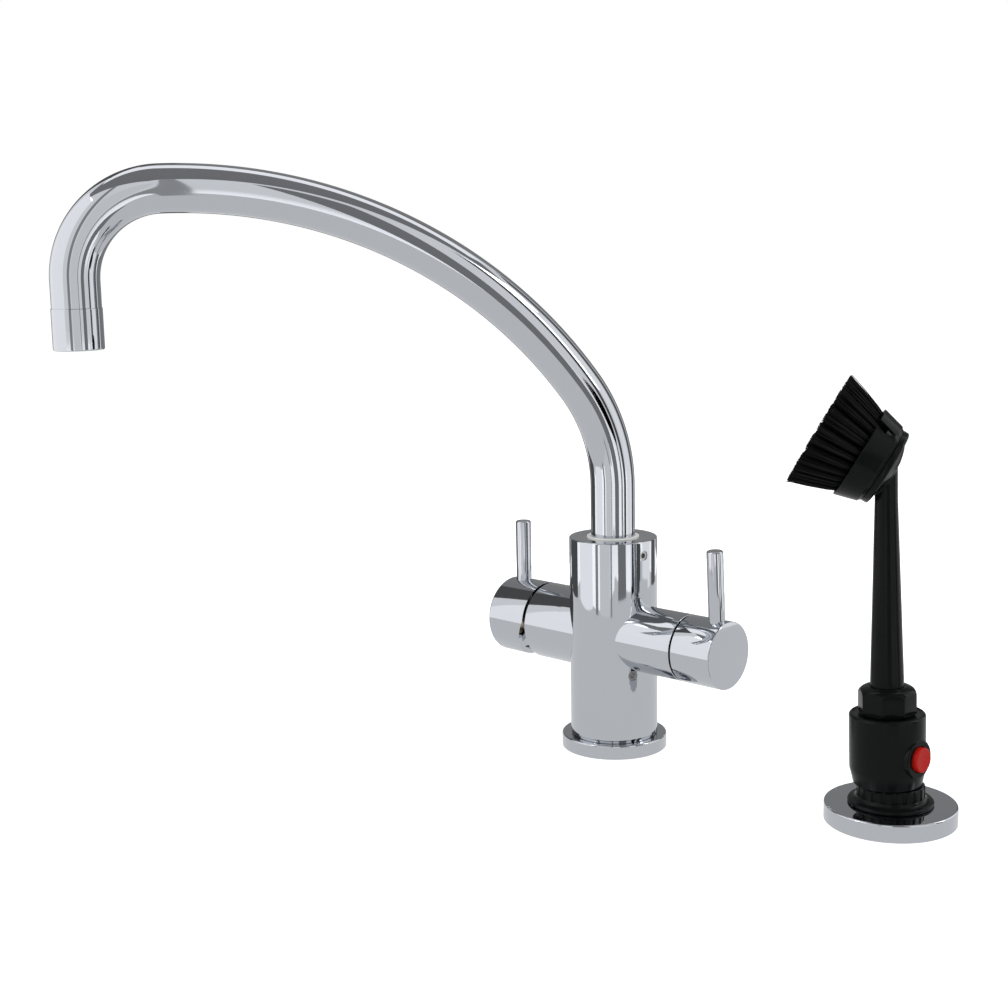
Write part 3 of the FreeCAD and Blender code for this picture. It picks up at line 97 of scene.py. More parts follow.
HANDLE_HEIGHT = JOINTS["valve_turn"]["pos_m"][2]
HANDLE_LINE = Matrix.Translation((0, 0, HANDLE_HEIGHT))
LEFT, RIGHT_LINE = HANDLE_LINE @ turn(-90, "Y"), HANDLE_LINE @ turn(90, "Y")
LEVER_LEAN = 3.3
LEANING = HANDLE_LINE @ turn(LEVER_LEAN, "X")
RIGHT = LEANING @ turn(90, "Y")
OUTLET = middle("aerator_insert")
SPOUT = Matrix.Rotation(math.atan2(OUTLET.y, OUTLET.x), 4, "Z")
STATION = Matrix.Translation((middle("deck_ring").x, middle("deck_ring").y, 0))

HAND_AXIS = Vector(JOINTS["spray_turn"]["axis"])
HAND_TURN = math.degrees(math.atan2(HAND_AXIS.y, HAND_AXIS.x))
HAND_LEAN = math.degrees(HAND_AXIS.angle(Vector((0, 0, 1))))
HAND = Matrix.Translation(JOINTS["spray_turn"]["pos_m"]) @ turn(HAND_TURN, "Z") @ turn(HAND_LEAN, "Y")
BUTTON_HEIGHT, BUTTON_TURN = 13.5 * MM, 145.2
BUTTON = HAND @ Matrix.Translation((0, 0, BUTTON_HEIGHT)) @ turn(BUTTON_TURN, "Z") @ turn(90, "Y")
HEAD_HEIGHT, HEAD_TILT, HEAD_SETBACK = 139.4 * MM, 31.7, 2.26 * MM
HEAD_SIDE = Matrix.Translation((0, 0, HEAD_HEIGHT)) @ turn(90 - HEAD_TILT, "Y")
HEAD = HAND @ HEAD_SIDE @ Matrix.Translation((0, 0, -HEAD_SETBACK))


# ---------------------------------------------------------------------------------------------------------
# Sizes, colours and stage settings that a user would change
# ---------------------------------------------------------------------------------------------------------
def length(name, description, millimetres):
    return bpy.props.FloatProperty(
        name=name, description=description, default=millimetres * MM, min=0, unit="LENGTH", precision=5
    )


def degrees(name, description, value):
    return bpy.props.FloatProperty(
        name=name, description=description, default=math.radians(value), unit="ROTATION", subtype="ANGLE"
    )


def colour(name, description, value):
    return bpy.props.FloatVectorProperty(
        name=name, description=description, default=value, size=3, subtype="COLOR", min=0, max=1
    )


def amount(name, description, value, top=1.0):
    return bpy.props.FloatProperty(name=name, description=description, default=value, min=0, max=top)


class TapSizes(bpy.types.PropertyGroup):
    """Sizes of the polished tap."""

    flange_round: length("Flange rounding", "Rounding of the base flange's rim", 1.0)
    column_round: length("Column rounding", "Rounding of the column's top rim", 0.6)
    foot_groove: length("Foot groove", "Depth of the shadow groove between flange and column", 0.7)
    tube_wall: length("Tube wall", "Wall of the spout tube", 1.2)
    near_bend_height: length("First bend's height", "End of the spout's upright run", 133.2)
    near_bend_radius: length("First bend", "Radius of the first bend", 86)
    near_bend_angle: degrees("First bend's angle", "Turn of the first bend", 36.1)
    arch_radius: length("Arch", "Radius of the long arch", 235.8)
    arch_angle: degrees("Arch angle", "Turn of the long arch", 55.5)
    drop_radius: length("Last bend", "Radius of the bend above the outlet", 40)
    mixer_bevel: degrees("Left cap's slope", "Slope of the left cap's lower rim", 21.3)
    bevel_start: length("Slope's start", "Height above the handle axis where the slope starts", 2.3)
    cap_round: length("Cap rounding", "Rounding of the caps' outer rims", 0.9)
    lever_round: length("Lever tip", "Rounding of the levers' tips", 0.8)


class BrushSizes(bpy.types.PropertyGroup):
    """Sizes of the brush and its seat."""

    bush_neck: length("Bush neck", "Radius of the guide bush's ribbed neck", 14.75)
    rib_count: bpy.props.IntProperty(name="Ribs", description="Ribs round the bush's neck", default=20, min=3)
    disc_radius: length("Head disc", "Radius of the disc on top of the handle", 17.2)
    disc_thick: length("Disc thickness", "Thickness of the disc", 4.3)
    cup_back: length("Cup back", "Radius of the bristle cup's back", 17.6)
    cup_rim: length("Cup rim", "Radius of the bristle cup's rim", 20.05)
    cup_depth: length("Cup depth", "Depth of the cup with its band", 11.2)
    bristle_length: length("Bristles", "Length of the bristles beyond the cup", 20.2)
    bristle_spread: length("Bristle spread", "Radius of the bristle field at its tips", 27.1)
    filament: length("Filament", "Thickness of one filament", 0.42)
    filaments: bpy.props.IntProperty(name="Filaments", description="Filaments in a tuft", default=30, min=1)


class TapColours(bpy.types.PropertyGroup):
    """Colours of the finishes."""

    chrome: colour("Chrome", "Polished chrome plate", (0.535, 0.556, 0.592))
    black: colour("Black plastic", "Moulded black plastic", (0.0035, 0.004, 0.004))
    red: colour("Red plastic", "Push button", (0.44, 0.010, 0.006))
    bristle: colour("Bristles", "Nylon filaments", (0.0035, 0.0035, 0.0038))
    brass: colour("Brass", "Machined brass", (0.72, 0.52, 0.25))
    steel: colour("Steel", "Stainless steel", (0.45, 0.45, 0.46))
    rubber: colour("Rubber", "Seals", (0.02, 0.02, 0.02))
    ceramic: colour("Ceramic", "Lapped discs", (0.82, 0.80, 0.74))
    white: colour("White plastic", "Cartridge mouldings", (0.75, 0.75, 0.72))


class StageSettings(bpy.types.PropertyGroup):
    """Light and floor."""

    world_level: amount("World light", "Light that the world gives to dull surfaces", 0.55, 4)
    floor_shade: amount("Floor", "Shade of the pale floor", 0.80)
    floor_glow: amount("Floor glow", "Brightness added for camera and mirrors", 0.60)


# ---------------------------------------------------------------------------------------------------------
# Modelling helpers
# ---------------------------------------------------------------------------------------------------------
# segments round a turned piece
ROUND, HALF_ROUND, FINE, PLAIN, COARSE, SMALL = 192, 128, 96, 64, 48, 16
SMOOTH_ANGLE = math.radians(20)
# heights closer than this are the same
LEVEL = 1e-7
# the foot edges' chamfer, and how far a cutting tool stands past the face that it cuts
EDGE, PAST = 0.3 * MM, 1 * MM


def deselect():
    """Nothing selected, and no piece in edit mode."""
    if bpy.context.object and bpy.context.object.mode != "OBJECT":
        bpy.ops.object.mode_set(mode="OBJECT")
    bpy.ops.object.select_all(action="DESELECT")


def pick(piece):
    deselect()
    piece.select_set(True)
    bpy.context.view_layer.objects.active = piece


def edit_all():
    """Edit mode with the whole piece selected."""
    bpy.ops.object.mode_set(mode="EDIT")
    bpy.ops.mesh.select_all(action="SELECT")


def face_outwards():
    """Turn every face outwards and leave edit mode."""
    bpy.ops.mesh.select_all(action="SELECT")
    bpy.ops.mesh.normals_make_consistent(inside=False)
    bpy.ops.object.mode_set(mode="OBJECT")


def extrude_up(rise):
    bpy.ops.mesh.extrude_region_move(TRANSFORM_OT_translate={"value": (0, 0, rise)})


def select_points(piece, wanted):
    """In edit mode, select only the vertices whose index passes a test."""
    bpy.ops.mesh.select_mode(type="VERT")
    bpy.ops.mesh.select_all(action="DESELECT")
    mesh = bmesh.from_edit_mesh(piece.data)
    for vertex in mesh.verts:
        if wanted(vertex.index):
            vertex.select_set(True)
    mesh.select_flush_mode()
    bmesh.update_edit_mesh(piece.data)


def apply(piece, kind, **values):
    """Add one modifier with these values and apply it."""
    pick(piece)
    modifier = piece.modifiers.new(kind.lower(), kind)
    for key, value in values.items():
        setattr(modifier, key, value)
    bpy.ops.object.modifier_apply(modifier=modifier.name)
    return piece


def ring_of(radius, height, segments):
    deselect()
    bpy.ops.mesh.primitive_circle_add(vertices=segments, radius=radius, location=(0, 0, height))
    bpy.ops.object.transform_apply(location=True, rotation=False, scale=False)
    return bpy.context.object


def turned(outline, segments=ROUND):
    """A turned piece from its half outline of (radius, height): a ring is drawn out step by step.

    An outline that starts or ends on the axis is capped there, and any other one closes on itself.
    """
    capped_first, capped_last = outline[0][0] == 0, outline[-1][0] == 0
    rings = [point for point in outline if point[0] > 0]
    piece = ring_of(*rings[0], segments)
    edit_all()
    for (radius, height), (wider, higher) in zip(rings, rings[1:]):
        extrude_up(higher - height)
        factor = wider / radius
        bpy.ops.transform.resize(value=(factor, factor, 1), center_override=(0, 0, higher))
    last = (len(rings) - 1) * segments
    if not (capped_first or capped_last):
        select_points(piece, lambda index: index < segments or index >= last)
        bpy.ops.mesh.bridge_edge_loops()
    if capped_first:
        select_points(piece, lambda index: index < segments)
        cap(outline[0][1] - rings[0][1])
    if capped_last:
        select_points(piece, lambda index: last <= index < last + segments)
        cap(outline[-1][1] - rings[-1][1])
    face_outwards()
    return piece


def cap(rise):
    """Close the selected ring with a flat face, or with a cone where the axis point stands off it."""
    if abs(rise) < LEVEL:
        bpy.ops.mesh.edge_face_add()
        return
    extrude_up(rise)
    bpy.ops.mesh.merge(type="CENTER")


def round_edges(piece, width, steps, angle):
    limit = math.radians(angle)
    return apply(piece, "BEVEL", width=width, segments=steps, limit_method="ANGLE", angle_limit=limit)


def combine(piece, tool, operation):
    """Add a tool to a piece or cut it out; the tool is used up."""
    apply(piece, "BOOLEAN", object=tool, operation=operation, solver="EXACT")
    bpy.data.objects.remove(tool)
    return piece


def rod(radius, start, stop, place=None, segments=PLAIN):
    """A plain round tool between two heights of its own axis."""
    piece = turned([(0, start), (radius, start), (radius, stop), (0, stop)], segments)
    if place is not None:
        piece.data.transform(place)
    return piece


def arc(centre, radius, start, stop, steps=8):
    """Outline points on an arc, from one angle to another in degrees."""
    points = []
    for index in range(steps + 1):
        angle = math.radians(start + (stop - start) * index / steps)
        points.append((centre[0] + radius * math.cos(angle), centre[1] + radius * math.sin(angle)))
    return points


def settle(piece, part, place, body, finish, angle=SMOOTH_ANGLE):
    """Put a finished piece where its part is, smooth it, give it its finish and tie it to its body."""
    piece.data.transform(place)
    pick(piece)
    edit_all()
    face_outwards()
    bpy.ops.object.shade_smooth_by_angle(angle=angle)
    piece.name = piece.data.name = f"{part}_surface"
    piece.data.materials.clear()
    piece.data.materials.append(finish_of(finish))
    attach(piece, body)
    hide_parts(part)
    return piece


# ---------------------------------------------------------------------------------------------------------
# Finishes
# ---------------------------------------------------------------------------------------------------------
FLOAT, COLOUR, VECTOR = "NodeSocketFloat", "NodeSocketColor", "NodeSocketVector"
# the noise's values between which the roughness goes from least to most
CLOUD_LOW, CLOUD_HIGH = 0.35, 0.68


def node(tree, kind, **values):
    made = tree.nodes.new(kind)
    for key, value in values.items():
        setattr(made, key, value)
    return made


def link(tree, source, output, target, socket):
    tree.links.new(source.outputs[output], target.inputs[socket])


def cloud_group(name, inputs, output, detail):
    """A shader node group with its sockets and a cloud of noise on Object coordinates."""
    tree = bpy.data.node_groups.new(name, "ShaderNodeTree")
    for socket, kind in (("Scale", FLOAT), *inputs):
        tree.interface.new_socket(name=socket, in_out="INPUT", socket_type=kind)
    tree.interface.new_socket(name=output[0], in_out="OUTPUT", socket_type=output[1])
    start, end = node(tree, "NodeGroupInput"), node(tree, "NodeGroupOutput")
    place = node(tree, "ShaderNodeTexCoord")
    cloud = node(tree, "ShaderNodeTexNoise")
    cloud.inputs["Detail"].default_value = detail
    link(tree, place, "Object", cloud, "Vector")
    link(tree, start, "Scale", cloud, "Scale")
    return tree, start, cloud, end


def handling_marks(name):
    """Roughness that wanders a little, as on a polished or moulded skin that has been wiped."""
    inputs = [("Least", FLOAT), ("Most", FLOAT)]
    tree, start, cloud, end = cloud_group(name, inputs, ("Roughness", FLOAT), 5)
    spread = node(tree, "ShaderNodeMapRange")
    spread.inputs["From Min"].default_value = CLOUD_LOW
    spread.inputs["From Max"].default_value = CLOUD_HIGH
    link(tree, cloud, "Fac", spread, "Value")
    link(tree, start, "Least", spread, "To Min")
    link(tree, start, "Most", spread, "To Max")
    link(tree, spread, "Result", end, "Roughness")
    return tree


def skin_relief(name):
    """A fine unevenness of the surface, at a given scale and depth."""
    inputs = [("Strength", FLOAT), ("Depth", FLOAT)]
    tree, start, cloud, end = cloud_group(name, inputs, ("Normal", VECTOR), 3)
    relief = node(tree, "ShaderNodeBump")
    link(tree, cloud, "Fac", relief, "Height")
    link(tree, start, "Strength", relief, "Strength")
    link(tree, start, "Depth", relief, "Distance")
    link(tree, relief, "Normal", end, "Normal")
    return tree


def shade_drift(name):
    """A colour that drifts between two shades over the piece."""
    inputs = [("Shade", COLOUR), ("Other", COLOUR)]
    tree, start, cloud, end = cloud_group(name, inputs, ("Color", COLOUR), 4)
    blend = node(tree, "ShaderNodeMix", data_type="RGBA")
    link(tree, cloud, "Fac", blend, "Factor")
    link(tree, start, "Shade", blend, "A")
    link(tree, start, "Other", blend, "B")
    link(tree, blend, "Result", end, "Color")
    return tree


def placed(tree, effect, **values):
    """Place a shared effect in a material with its own values; it is built when first asked for."""
    name = effect.__name__
    shared = bpy.data.node_groups.get(name) or effect(name)
    made = node(tree, "ShaderNodeGroup", node_tree=shared)
    for key, value in values.items():
        made.inputs[key.capitalize()].default_value = value
    return made


def shade(rgb, factor=1.0):
    return (rgb[0] * factor, rgb[1] * factor, rgb[2] * factor, 1.0)


# for each of the record's slots: its colour setting, the other shade and the scale of its drift, then
# scale, least and most of the roughness, scale, strength and depth of the relief, metal and gloss level
FINISHES = {
    "chrome": ("chrome", 0.97, 20, (35, 0.025, 0.055), (9, 0.10, 0.00004), 1.0, 0.5),
    "brass": ("brass", 0.85, 40, (120, 0.18, 0.32), (900, 0.2, 0.00002), 1.0, 0.5),
    "steel": ("steel", 0.85, 60, (150, 0.20, 0.34), (900, 0.2, 0.00002), 1.0, 0.5),
    "rubber": ("rubber", 1.5, 60, (200, 0.55, 0.75), (700, 0.3, 0.00004), 0.0, 0.5),
    "ceramic": ("ceramic", 0.95, 60, (90, 0.12, 0.25), (500, 0.1, 0.00001), 0.0, 0.5),
    "white_plastic": ("white", 0.94, 50, (120, 0.35, 0.5), (900, 0.2, 0.00003), 0.0, 0.5),
    "black_plastic": ("black", 1.6, 45, (60, 0.14, 0.26), (420, 0.22, 0.00006), 0.0, 0.09),
    "red_plastic": ("red", 0.86, 90, (150, 0.26, 0.42), (700, 0.2, 0.00004), 0.0, 0.1),
    "bristle_fibre": ("bristle", 1.9, 160, (300, 0.32, 0.5), (900, 0.2, 0.00002), 0.0, 0.08),
}


def finish_of(slot):
    """The material of one slot, built when first asked for: drifting colour, wandering gloss, fine relief."""
    name = f"{slot}_finish"
    if name in bpy.data.materials:
        return bpy.data.materials[name]
    setting, other, drift, marks, relief, metal, gloss_level = FINISHES[slot]
    rgb = getattr(bpy.context.scene.tap_colours, setting)
    material = bpy.data.materials.new(name)
    material.use_nodes = True
    tree = material.node_tree
    surface = tree.nodes["Principled BSDF"]
    surface.inputs["Metallic"].default_value = metal
    surface.inputs["Specular IOR Level"].default_value = gloss_level
    tint = placed(tree, shade_drift, scale=drift, shade=shade(rgb), other=shade(rgb, other))
    link(tree, tint, "Color", surface, "Base Color")
    gloss = placed(tree, handling_marks, scale=marks[0], least=marks[1], most=marks[2])
    link(tree, gloss, "Roughness", surface, "Roughness")
    unevenness = placed(tree, skin_relief, scale=relief[0], strength=relief[1], depth=relief[2])
    link(tree, unevenness, "Normal", surface, "Normal")
    return material


# ---------------------------------------------------------------------------------------------------------
# Tap
# ---------------------------------------------------------------------------------------------------------
COLUMN_R, COLUMN_TOP, SPIGOT_BOTTOM = half_width("tap_body", "y"), high("tap_body").z, low("tap_body").z
FLANGE_R, FLANGE_TOP = half_width("base_flange"), high("base_flange").z
SEAL_R, SEAL_INNER_R, SEAL_TOP = half_width("base_seal"), 20.5 * MM, high("base_seal").z
SPIGOT_R = 18 * MM
SOCKET_R, SOCKET_FLOOR = half_width("spout_wear_ring"), 80 * MM
TUBE_R, TUBE_FOOT, OUTLET_SPIGOT = 11 * MM, 83 * MM, 7 * MM
LEFT_R, RIGHT_R = half_width("mixer_cap", "y"), 16.5 * MM
LEFT_END, RIGHT_END = -low("tap_body").x, high("tap_body").x
LEFT_CAP = (45.3 * MM, -low("mixer_cap").x)
RIGHT_CAP = (48.4 * MM, high("valve_cap").x)
MIXER_CHAMBER = (half_width("cartridge_nut", "y"), 14 * MM)
VALVE_CHAMBER, VALVE_WAY = (13.6 * MM, 40 * MM), (11.3 * MM, 20 * MM, 41 * MM)
SIDE_HOLES = ((-6.8, 100.9 * MM), (-24.8, 41.2 * MM))
SIDE_HOLE_R, SIDE_HOLE_DEPTH = 2.5 * MM, 10 * MM
STUD_R, STUD_DEPTH, TAIL_R, TAIL_DEPTH, TAIL_CIRCLE = 3.4 * MM, 16 * MM, 4.5 * MM, 12 * MM, 11 * MM
TAIL_ANGLES = (0, 120, 240)
LEFT_LEVER, RIGHT_LEVER = 61.3 * MM, 64.7 * MM
LEVER_R, LEVER_SEAT_R, LEVER_DEPTH, RIGHT_LEVER_TOP = 4 * MM, 4.02 * MM, 8 * MM, 109 * MM
LEFT_GRUB, RIGHT_GRUB, GRUB_R = 54.4 * MM, 57 * MM, 2.02 * MM


class TAP_OT_base_flange(bpy.types.Operator):
    """Round base flange with the groove for its seal"""

    bl_idname = "tap_model.base_flange"
    bl_label = "Base flange"

    def execute(self, context):
        sizes = context.scene.tap_sizes
        outline = [
            (SPIGOT_R, FLANGE_TOP),
            (SPIGOT_R, 0),
            (SEAL_INNER_R, 0),
            (SEAL_INNER_R, SEAL_TOP),
            (SEAL_R, SEAL_TOP),
            (SEAL_R, 0),
            (FLANGE_R - EDGE, 0),
            (FLANGE_R, EDGE),
        ]
        rounding = sizes.flange_round
        outline += arc((FLANGE_R - rounding, FLANGE_TOP - rounding), rounding, 0, 90)
        settle(turned(outline), "base_flange", Matrix(), "tap", "chrome")
        return {"FINISHED"}


class TAP_OT_column(bpy.types.Operator):
    """Column with its two branches, spout socket, chambers and side holes"""

    bl_idname = "tap_model.column"
    bl_label = "Column"

    def execute(self, context):
        sizes = context.scene.tap_sizes
        rounding, groove, mouth, foot = sizes.column_round, sizes.foot_groove, 0.4 * MM, 0.25 * MM
        groove_top = FLANGE_TOP + groove
        outline = [
            (0, SPIGOT_BOTTOM),
            (SPIGOT_R, SPIGOT_BOTTOM),
            (SPIGOT_R, FLANGE_TOP),
            (COLUMN_R - groove, FLANGE_TOP),
            (COLUMN_R - groove, groove_top),
            (COLUMN_R - foot, groove_top),
            (COLUMN_R, groove_top + foot),
            *arc((COLUMN_R - rounding, COLUMN_TOP - rounding), rounding, 0, 90),
            *arc((SOCKET_R + mouth, COLUMN_TOP - mouth), mouth, 90, 180, 4),
            (SOCKET_R, SOCKET_FLOOR),
            (0, SOCKET_FLOOR),
        ]
        column = turned(outline)
        for line, radius, end, edge in (
            (LEFT, LEFT_R, LEFT_END, 0.4 * MM),
            (RIGHT_LINE, RIGHT_R, RIGHT_END, EDGE),
        ):
            branch = turned(branch_outline(radius, end, edge))
            branch.data.transform(line)
            combine(column, branch, "UNION")
        cuts = [
            rod(SOCKET_R, SOCKET_FLOOR, COLUMN_TOP + PAST, segments=ROUND),
            rod(*MIXER_CHAMBER, LEFT_END + PAST, LEFT, HALF_ROUND),
            rod(*VALVE_CHAMBER, RIGHT_END + PAST, RIGHT_LINE, HALF_ROUND),
            rod(*VALVE_WAY, RIGHT_LINE, FINE),
        ]
        for angle, height in SIDE_HOLES:
            side = Matrix.Translation((0, 0, height)) @ turn(angle, "Z") @ turn(90, "Y")
            cuts.append(rod(SIDE_HOLE_R, COLUMN_R - SIDE_HOLE_DEPTH, COLUMN_R + PAST, side, COARSE))
        cuts.append(rod(STUD_R, -PAST, SPIGOT_BOTTOM + STUD_DEPTH, segments=COARSE))
        for angle in TAIL_ANGLES:
            place = turn(angle, "Z") @ Matrix.Translation((TAIL_CIRCLE, 0, 0))
            cuts.append(rod(TAIL_R, -PAST, SPIGOT_BOTTOM + TAIL_DEPTH, place, COARSE))
        for tool in cuts:
            combine(column, tool, "DIFFERENCE")
        settle(column, "tap_body", Matrix(), "tap", "chrome")
        return {"FINISHED"}


def branch_outline(radius, end, rounding):
    """A side branch from the column's middle to its rounded end."""
    return [(0, 0), (radius, 0), *arc((radius - rounding, end - rounding), rounding, 0, 90, 5), (0, end)]


class TAP_OT_spout(bpy.types.Operator):
    """Bent spout tube: upright run, first bend, long arch, last bend and drop"""

    bl_idname = "tap_model.spout"
    bl_label = "Spout"

    def execute(self, context):
        sizes = context.scene.tap_sizes
        joint = high("aerator_housing").z - OUTLET_SPIGOT
        piece = ring_of(TUBE_R, TUBE_FOOT, HALF_ROUND)
        edit_all()
        extrude_up(sizes.near_bend_height - TUBE_FOOT)
        place, heading = Vector((0, 0, sizes.near_bend_height)), 0.0
        last_turn = math.pi - sizes.near_bend_angle - sizes.arch_angle
        for radius, angle, steps in (
            (sizes.near_bend_radius, sizes.near_bend_angle, 40),
            (sizes.arch_radius, sizes.arch_angle, 72),
            (sizes.drop_radius, last_turn, 64),
        ):
            inward = Vector((math.cos(heading), 0, -math.sin(heading)))
            centre = place + inward * radius
            bpy.ops.mesh.spin(steps=steps, angle=angle, center=centre, axis=(0, -1, 0))
            heading += angle
            place = centre - Vector((math.cos(heading), 0, -math.sin(heading))) * radius
        extrude_up(joint - place.z)
        bpy.ops.mesh.select_all(action="SELECT")
        bpy.ops.mesh.remove_doubles(threshold=0.01 * MM)
        face_outwards()
        apply(piece, "SOLIDIFY", thickness=sizes.tube_wall, offset=-1.0)
        settle(piece, "spout_tube", SPOUT, "spout", "chrome", math.radians(40))
        return {"FINISHED"}


class TAP_OT_outlet(bpy.types.Operator):
    """Aerator housing screwed into the tube's mouth"""

    bl_idname = "tap_model.outlet"
    bl_label = "Outlet"

    def execute(self, context):
        bottom, top = low("aerator_housing").z, high("aerator_housing").z
        outside, seat, joint = half_width("aerator_housing"), high("aerator_washer").z, top - OUTLET_SPIGOT
        spigot, bore, waist = 9.8 * MM, 9.4 * MM, 7.6 * MM
        lip, shoulder = 0.7 * MM, 0.35 * MM
        outline = [
            (waist, seat),
            (bore, seat),
            (bore, bottom + EDGE),
            *arc((outside - lip, bottom + lip), lip, -90, 0, 6),
            *arc((outside - shoulder, joint - shoulder), shoulder, 0, 90, 4),
            (spigot, joint),
            (spigot, top),
            (waist, top),
        ]
        place = Matrix.Translation((OUTLET.x, OUTLET.y, 0))
        piece = turned(outline, HALF_ROUND)
        settle(piece, "aerator_housing", place, "spout", "chrome")
        return {"FINISHED"}


class TAP_OT_mixer_handle(bpy.types.Operator):
    """Left cap with its sloped lower rim, and its lever"""

    bl_idname = "tap_model.mixer_handle"
    bl_label = "Mixer handle"

    def execute(self, context):
        sizes = context.scene.tap_sizes
        (rim, face), rounding = LEFT_CAP, sizes.cap_round
        outline = [
            *cap_inside(5.75 * MM, 7.5 * MM, 17.2 * MM, 50 * MM, 57 * MM, 58 * MM, rim),
            (LEFT_R, rim),
            *arc((LEFT_R - rounding, face - rounding), rounding, 0, 90),
            (0, face),
        ]
        piece = turned(outline)
        combine(piece, slope_tool(rim, sizes.bevel_start, sizes.mixer_bevel), "DIFFERENCE")
        cut_lever_seat(piece, LEFT_LEVER, LEFT_R, 1)
        screw_side = Matrix.Translation((0, 0, LEFT_GRUB)) @ turn(-90, "X")
        combine(piece, rod(GRUB_R, 5 * MM, LEFT_R + PAST, screw_side, COARSE), "DIFFERENCE")
        round_edges(piece, 0.25 * MM, 2, 50)
        settle(piece, "mixer_cap", LEFT, "mixer_handle", "chrome")
        lever = turned(lever_outline(low("mixer_lever").z, high("mixer_lever").z, sizes.lever_round), PLAIN)
        place = Matrix.Translation((-LEFT_LEVER, 0, 0))
        settle(lever, "mixer_lever", place, "mixer_handle", "chrome")
        return {"FINISHED"}


class TAP_OT_valve_handle(bpy.types.Operator):
    """Right cap and its lever, leaning a little to the user"""

    bl_idname = "tap_model.valve_handle"
    bl_label = "Valve handle"

    def execute(self, context):
        sizes = context.scene.tap_sizes
        (rim, face), rounding = RIGHT_CAP, sizes.cap_round * 0.6
        outline = [
            *cap_inside(4 * MM, 7 * MM, 14.4 * MM, 52 * MM, 58 * MM, 62 * MM, rim),
            *arc((RIGHT_R - EDGE, rim + EDGE), EDGE, -90, 0, 4),
            *arc((RIGHT_R - rounding, face - rounding), rounding, 0, 90),
            (0, face),
        ]
        piece = turned(outline)
        cut_lever_seat(piece, RIGHT_LEVER, RIGHT_R, -1)
        screw_side = Matrix.Translation((0, 0, RIGHT_GRUB)) @ turn(90, "Y")
        combine(piece, rod(GRUB_R, 4.5 * MM, RIGHT_R + PAST, screw_side, COARSE), "DIFFERENCE")
        settle(piece, "valve_cap", RIGHT, "valve_handle", "chrome")
        foot = HANDLE_HEIGHT + RIGHT_R - LEVER_DEPTH
        lever = turned(lever_outline(foot, RIGHT_LEVER_TOP, sizes.lever_round), PLAIN)
        place = LEANING @ HANDLE_LINE.inverted() @ Matrix.Translation((RIGHT_LEVER, 0, 0))
        settle(lever, "valve_lever", place, "valve_handle", "chrome")
        return {"FINISHED"}


def cap_inside(hub_bore, hub, inside, hub_foot, roof, socket_end, rim):
    """The inside of a handle's cap: a hub with a socket for the stem, and the hollow round it."""
    return [
        (0, socket_end),
        (hub_bore, socket_end),
        (hub_bore, hub_foot),
        (hub, hub_foot),
        (hub, roof),
        (inside, roof),
        (inside, rim),
    ]


def slope_tool(rim, start, slope):
    """A block whose face is the sloped cut of the left cap's lower rim."""
    side = 80 * MM
    deselect()
    bpy.ops.mesh.primitive_cube_add(size=side)
    block = bpy.context.object
    block.data.transform(Matrix.Translation((0, 0, -side / 2)))
    block.data.transform(Matrix.Translation((start, 0, rim)) @ Matrix.Rotation(slope, 4, "Y"))
    return block


def cut_lever_seat(piece, place, radius, up):
    """The seat of a lever, a hole from the cap's top; up is the side of local X that is the top."""
    across = Matrix.Translation((0, 0, place)) @ turn(90 * up, "Y")
    seat = rod(LEVER_SEAT_R, radius - LEVER_DEPTH, radius + 2 * PAST, across, PLAIN)
    combine(piece, seat, "DIFFERENCE")


def lever_outline(foot, top, rounding):
    """A plain rod with a softly rounded tip."""
    return [
        (0, foot),
        (LEVER_R - EDGE, foot),
        (LEVER_R, foot + EDGE),
        *arc((LEVER_R - rounding, top - rounding), rounding, 0, 90, 6),
        (0, top),
    ]


# ---------------------------------------------------------------------------------------------------------
# Brush station
# ---------------------------------------------------------------------------------------------------------
RING_R, RING_TOP = half_width("deck_ring"), high("deck_ring").z
RING_BORE, BUSH_SEAT, BUSH_BORE = 14.25 * MM, 15 * MM, 11.2 * MM
BUSH_FOOT, BUSH_TOP = low("guide_bush").z, high("guide_bush").z
FLARE_TOP, RIBS_FOOT, RIB_GAP_R, RIB_GAP_OUT = 11.4 * MM, 11.9 * MM, 1.2 * MM, 0.55 * MM
# along the button's axis, from the hand unit's axis
BOSS_R, BOSS_FACE, BUTTON_STOP = 8.6 * MM, 16.7 * MM, 10.4 * MM
BEZEL_R, BEZEL_BACK = 7.4 * MM, 15 * MM
SPRING_FLOOR, BUTTON_BACK = 6 * MM, 12.6 * MM
SPRING_TURNS, SPRING_STEPS = 3.5, 168
# up the hand unit's axis, from its foot
NIPPLE_SEAT_R, NIPPLE_TOP, WAY_R, NECK_R, NECK_TOP = 5.55 * MM, 11.3 * MM, 3.6 * MM, 9.4 * MM, 38 * MM
# turn of the nut's flats and of the band's split about their axes, in degrees
NUT_TURN, BAND_SPLIT = 13.3, 50
# tufts of bristles: each ring's share of the field's radius, its tufts and their shortest share of the length
TUFT_RINGS = (
    (0.0, 1, 0.955),
    (0.2, 6, 0.955),
    (0.4, 12, 0.955),
    (0.6, 18, 0.96),
    (0.8, 25, 0.965),
    (1.0, 32, 0.985),
)
ROOT_FIELD, ROOT_SPREAD, TUFT_SPREAD, TUFT_BEND = 16.1 * MM, 0.85 * MM, 2.1 * MM, 0.4 * MM
TUFT_LEAN, TUFT_STEP = 0.88, 0.03


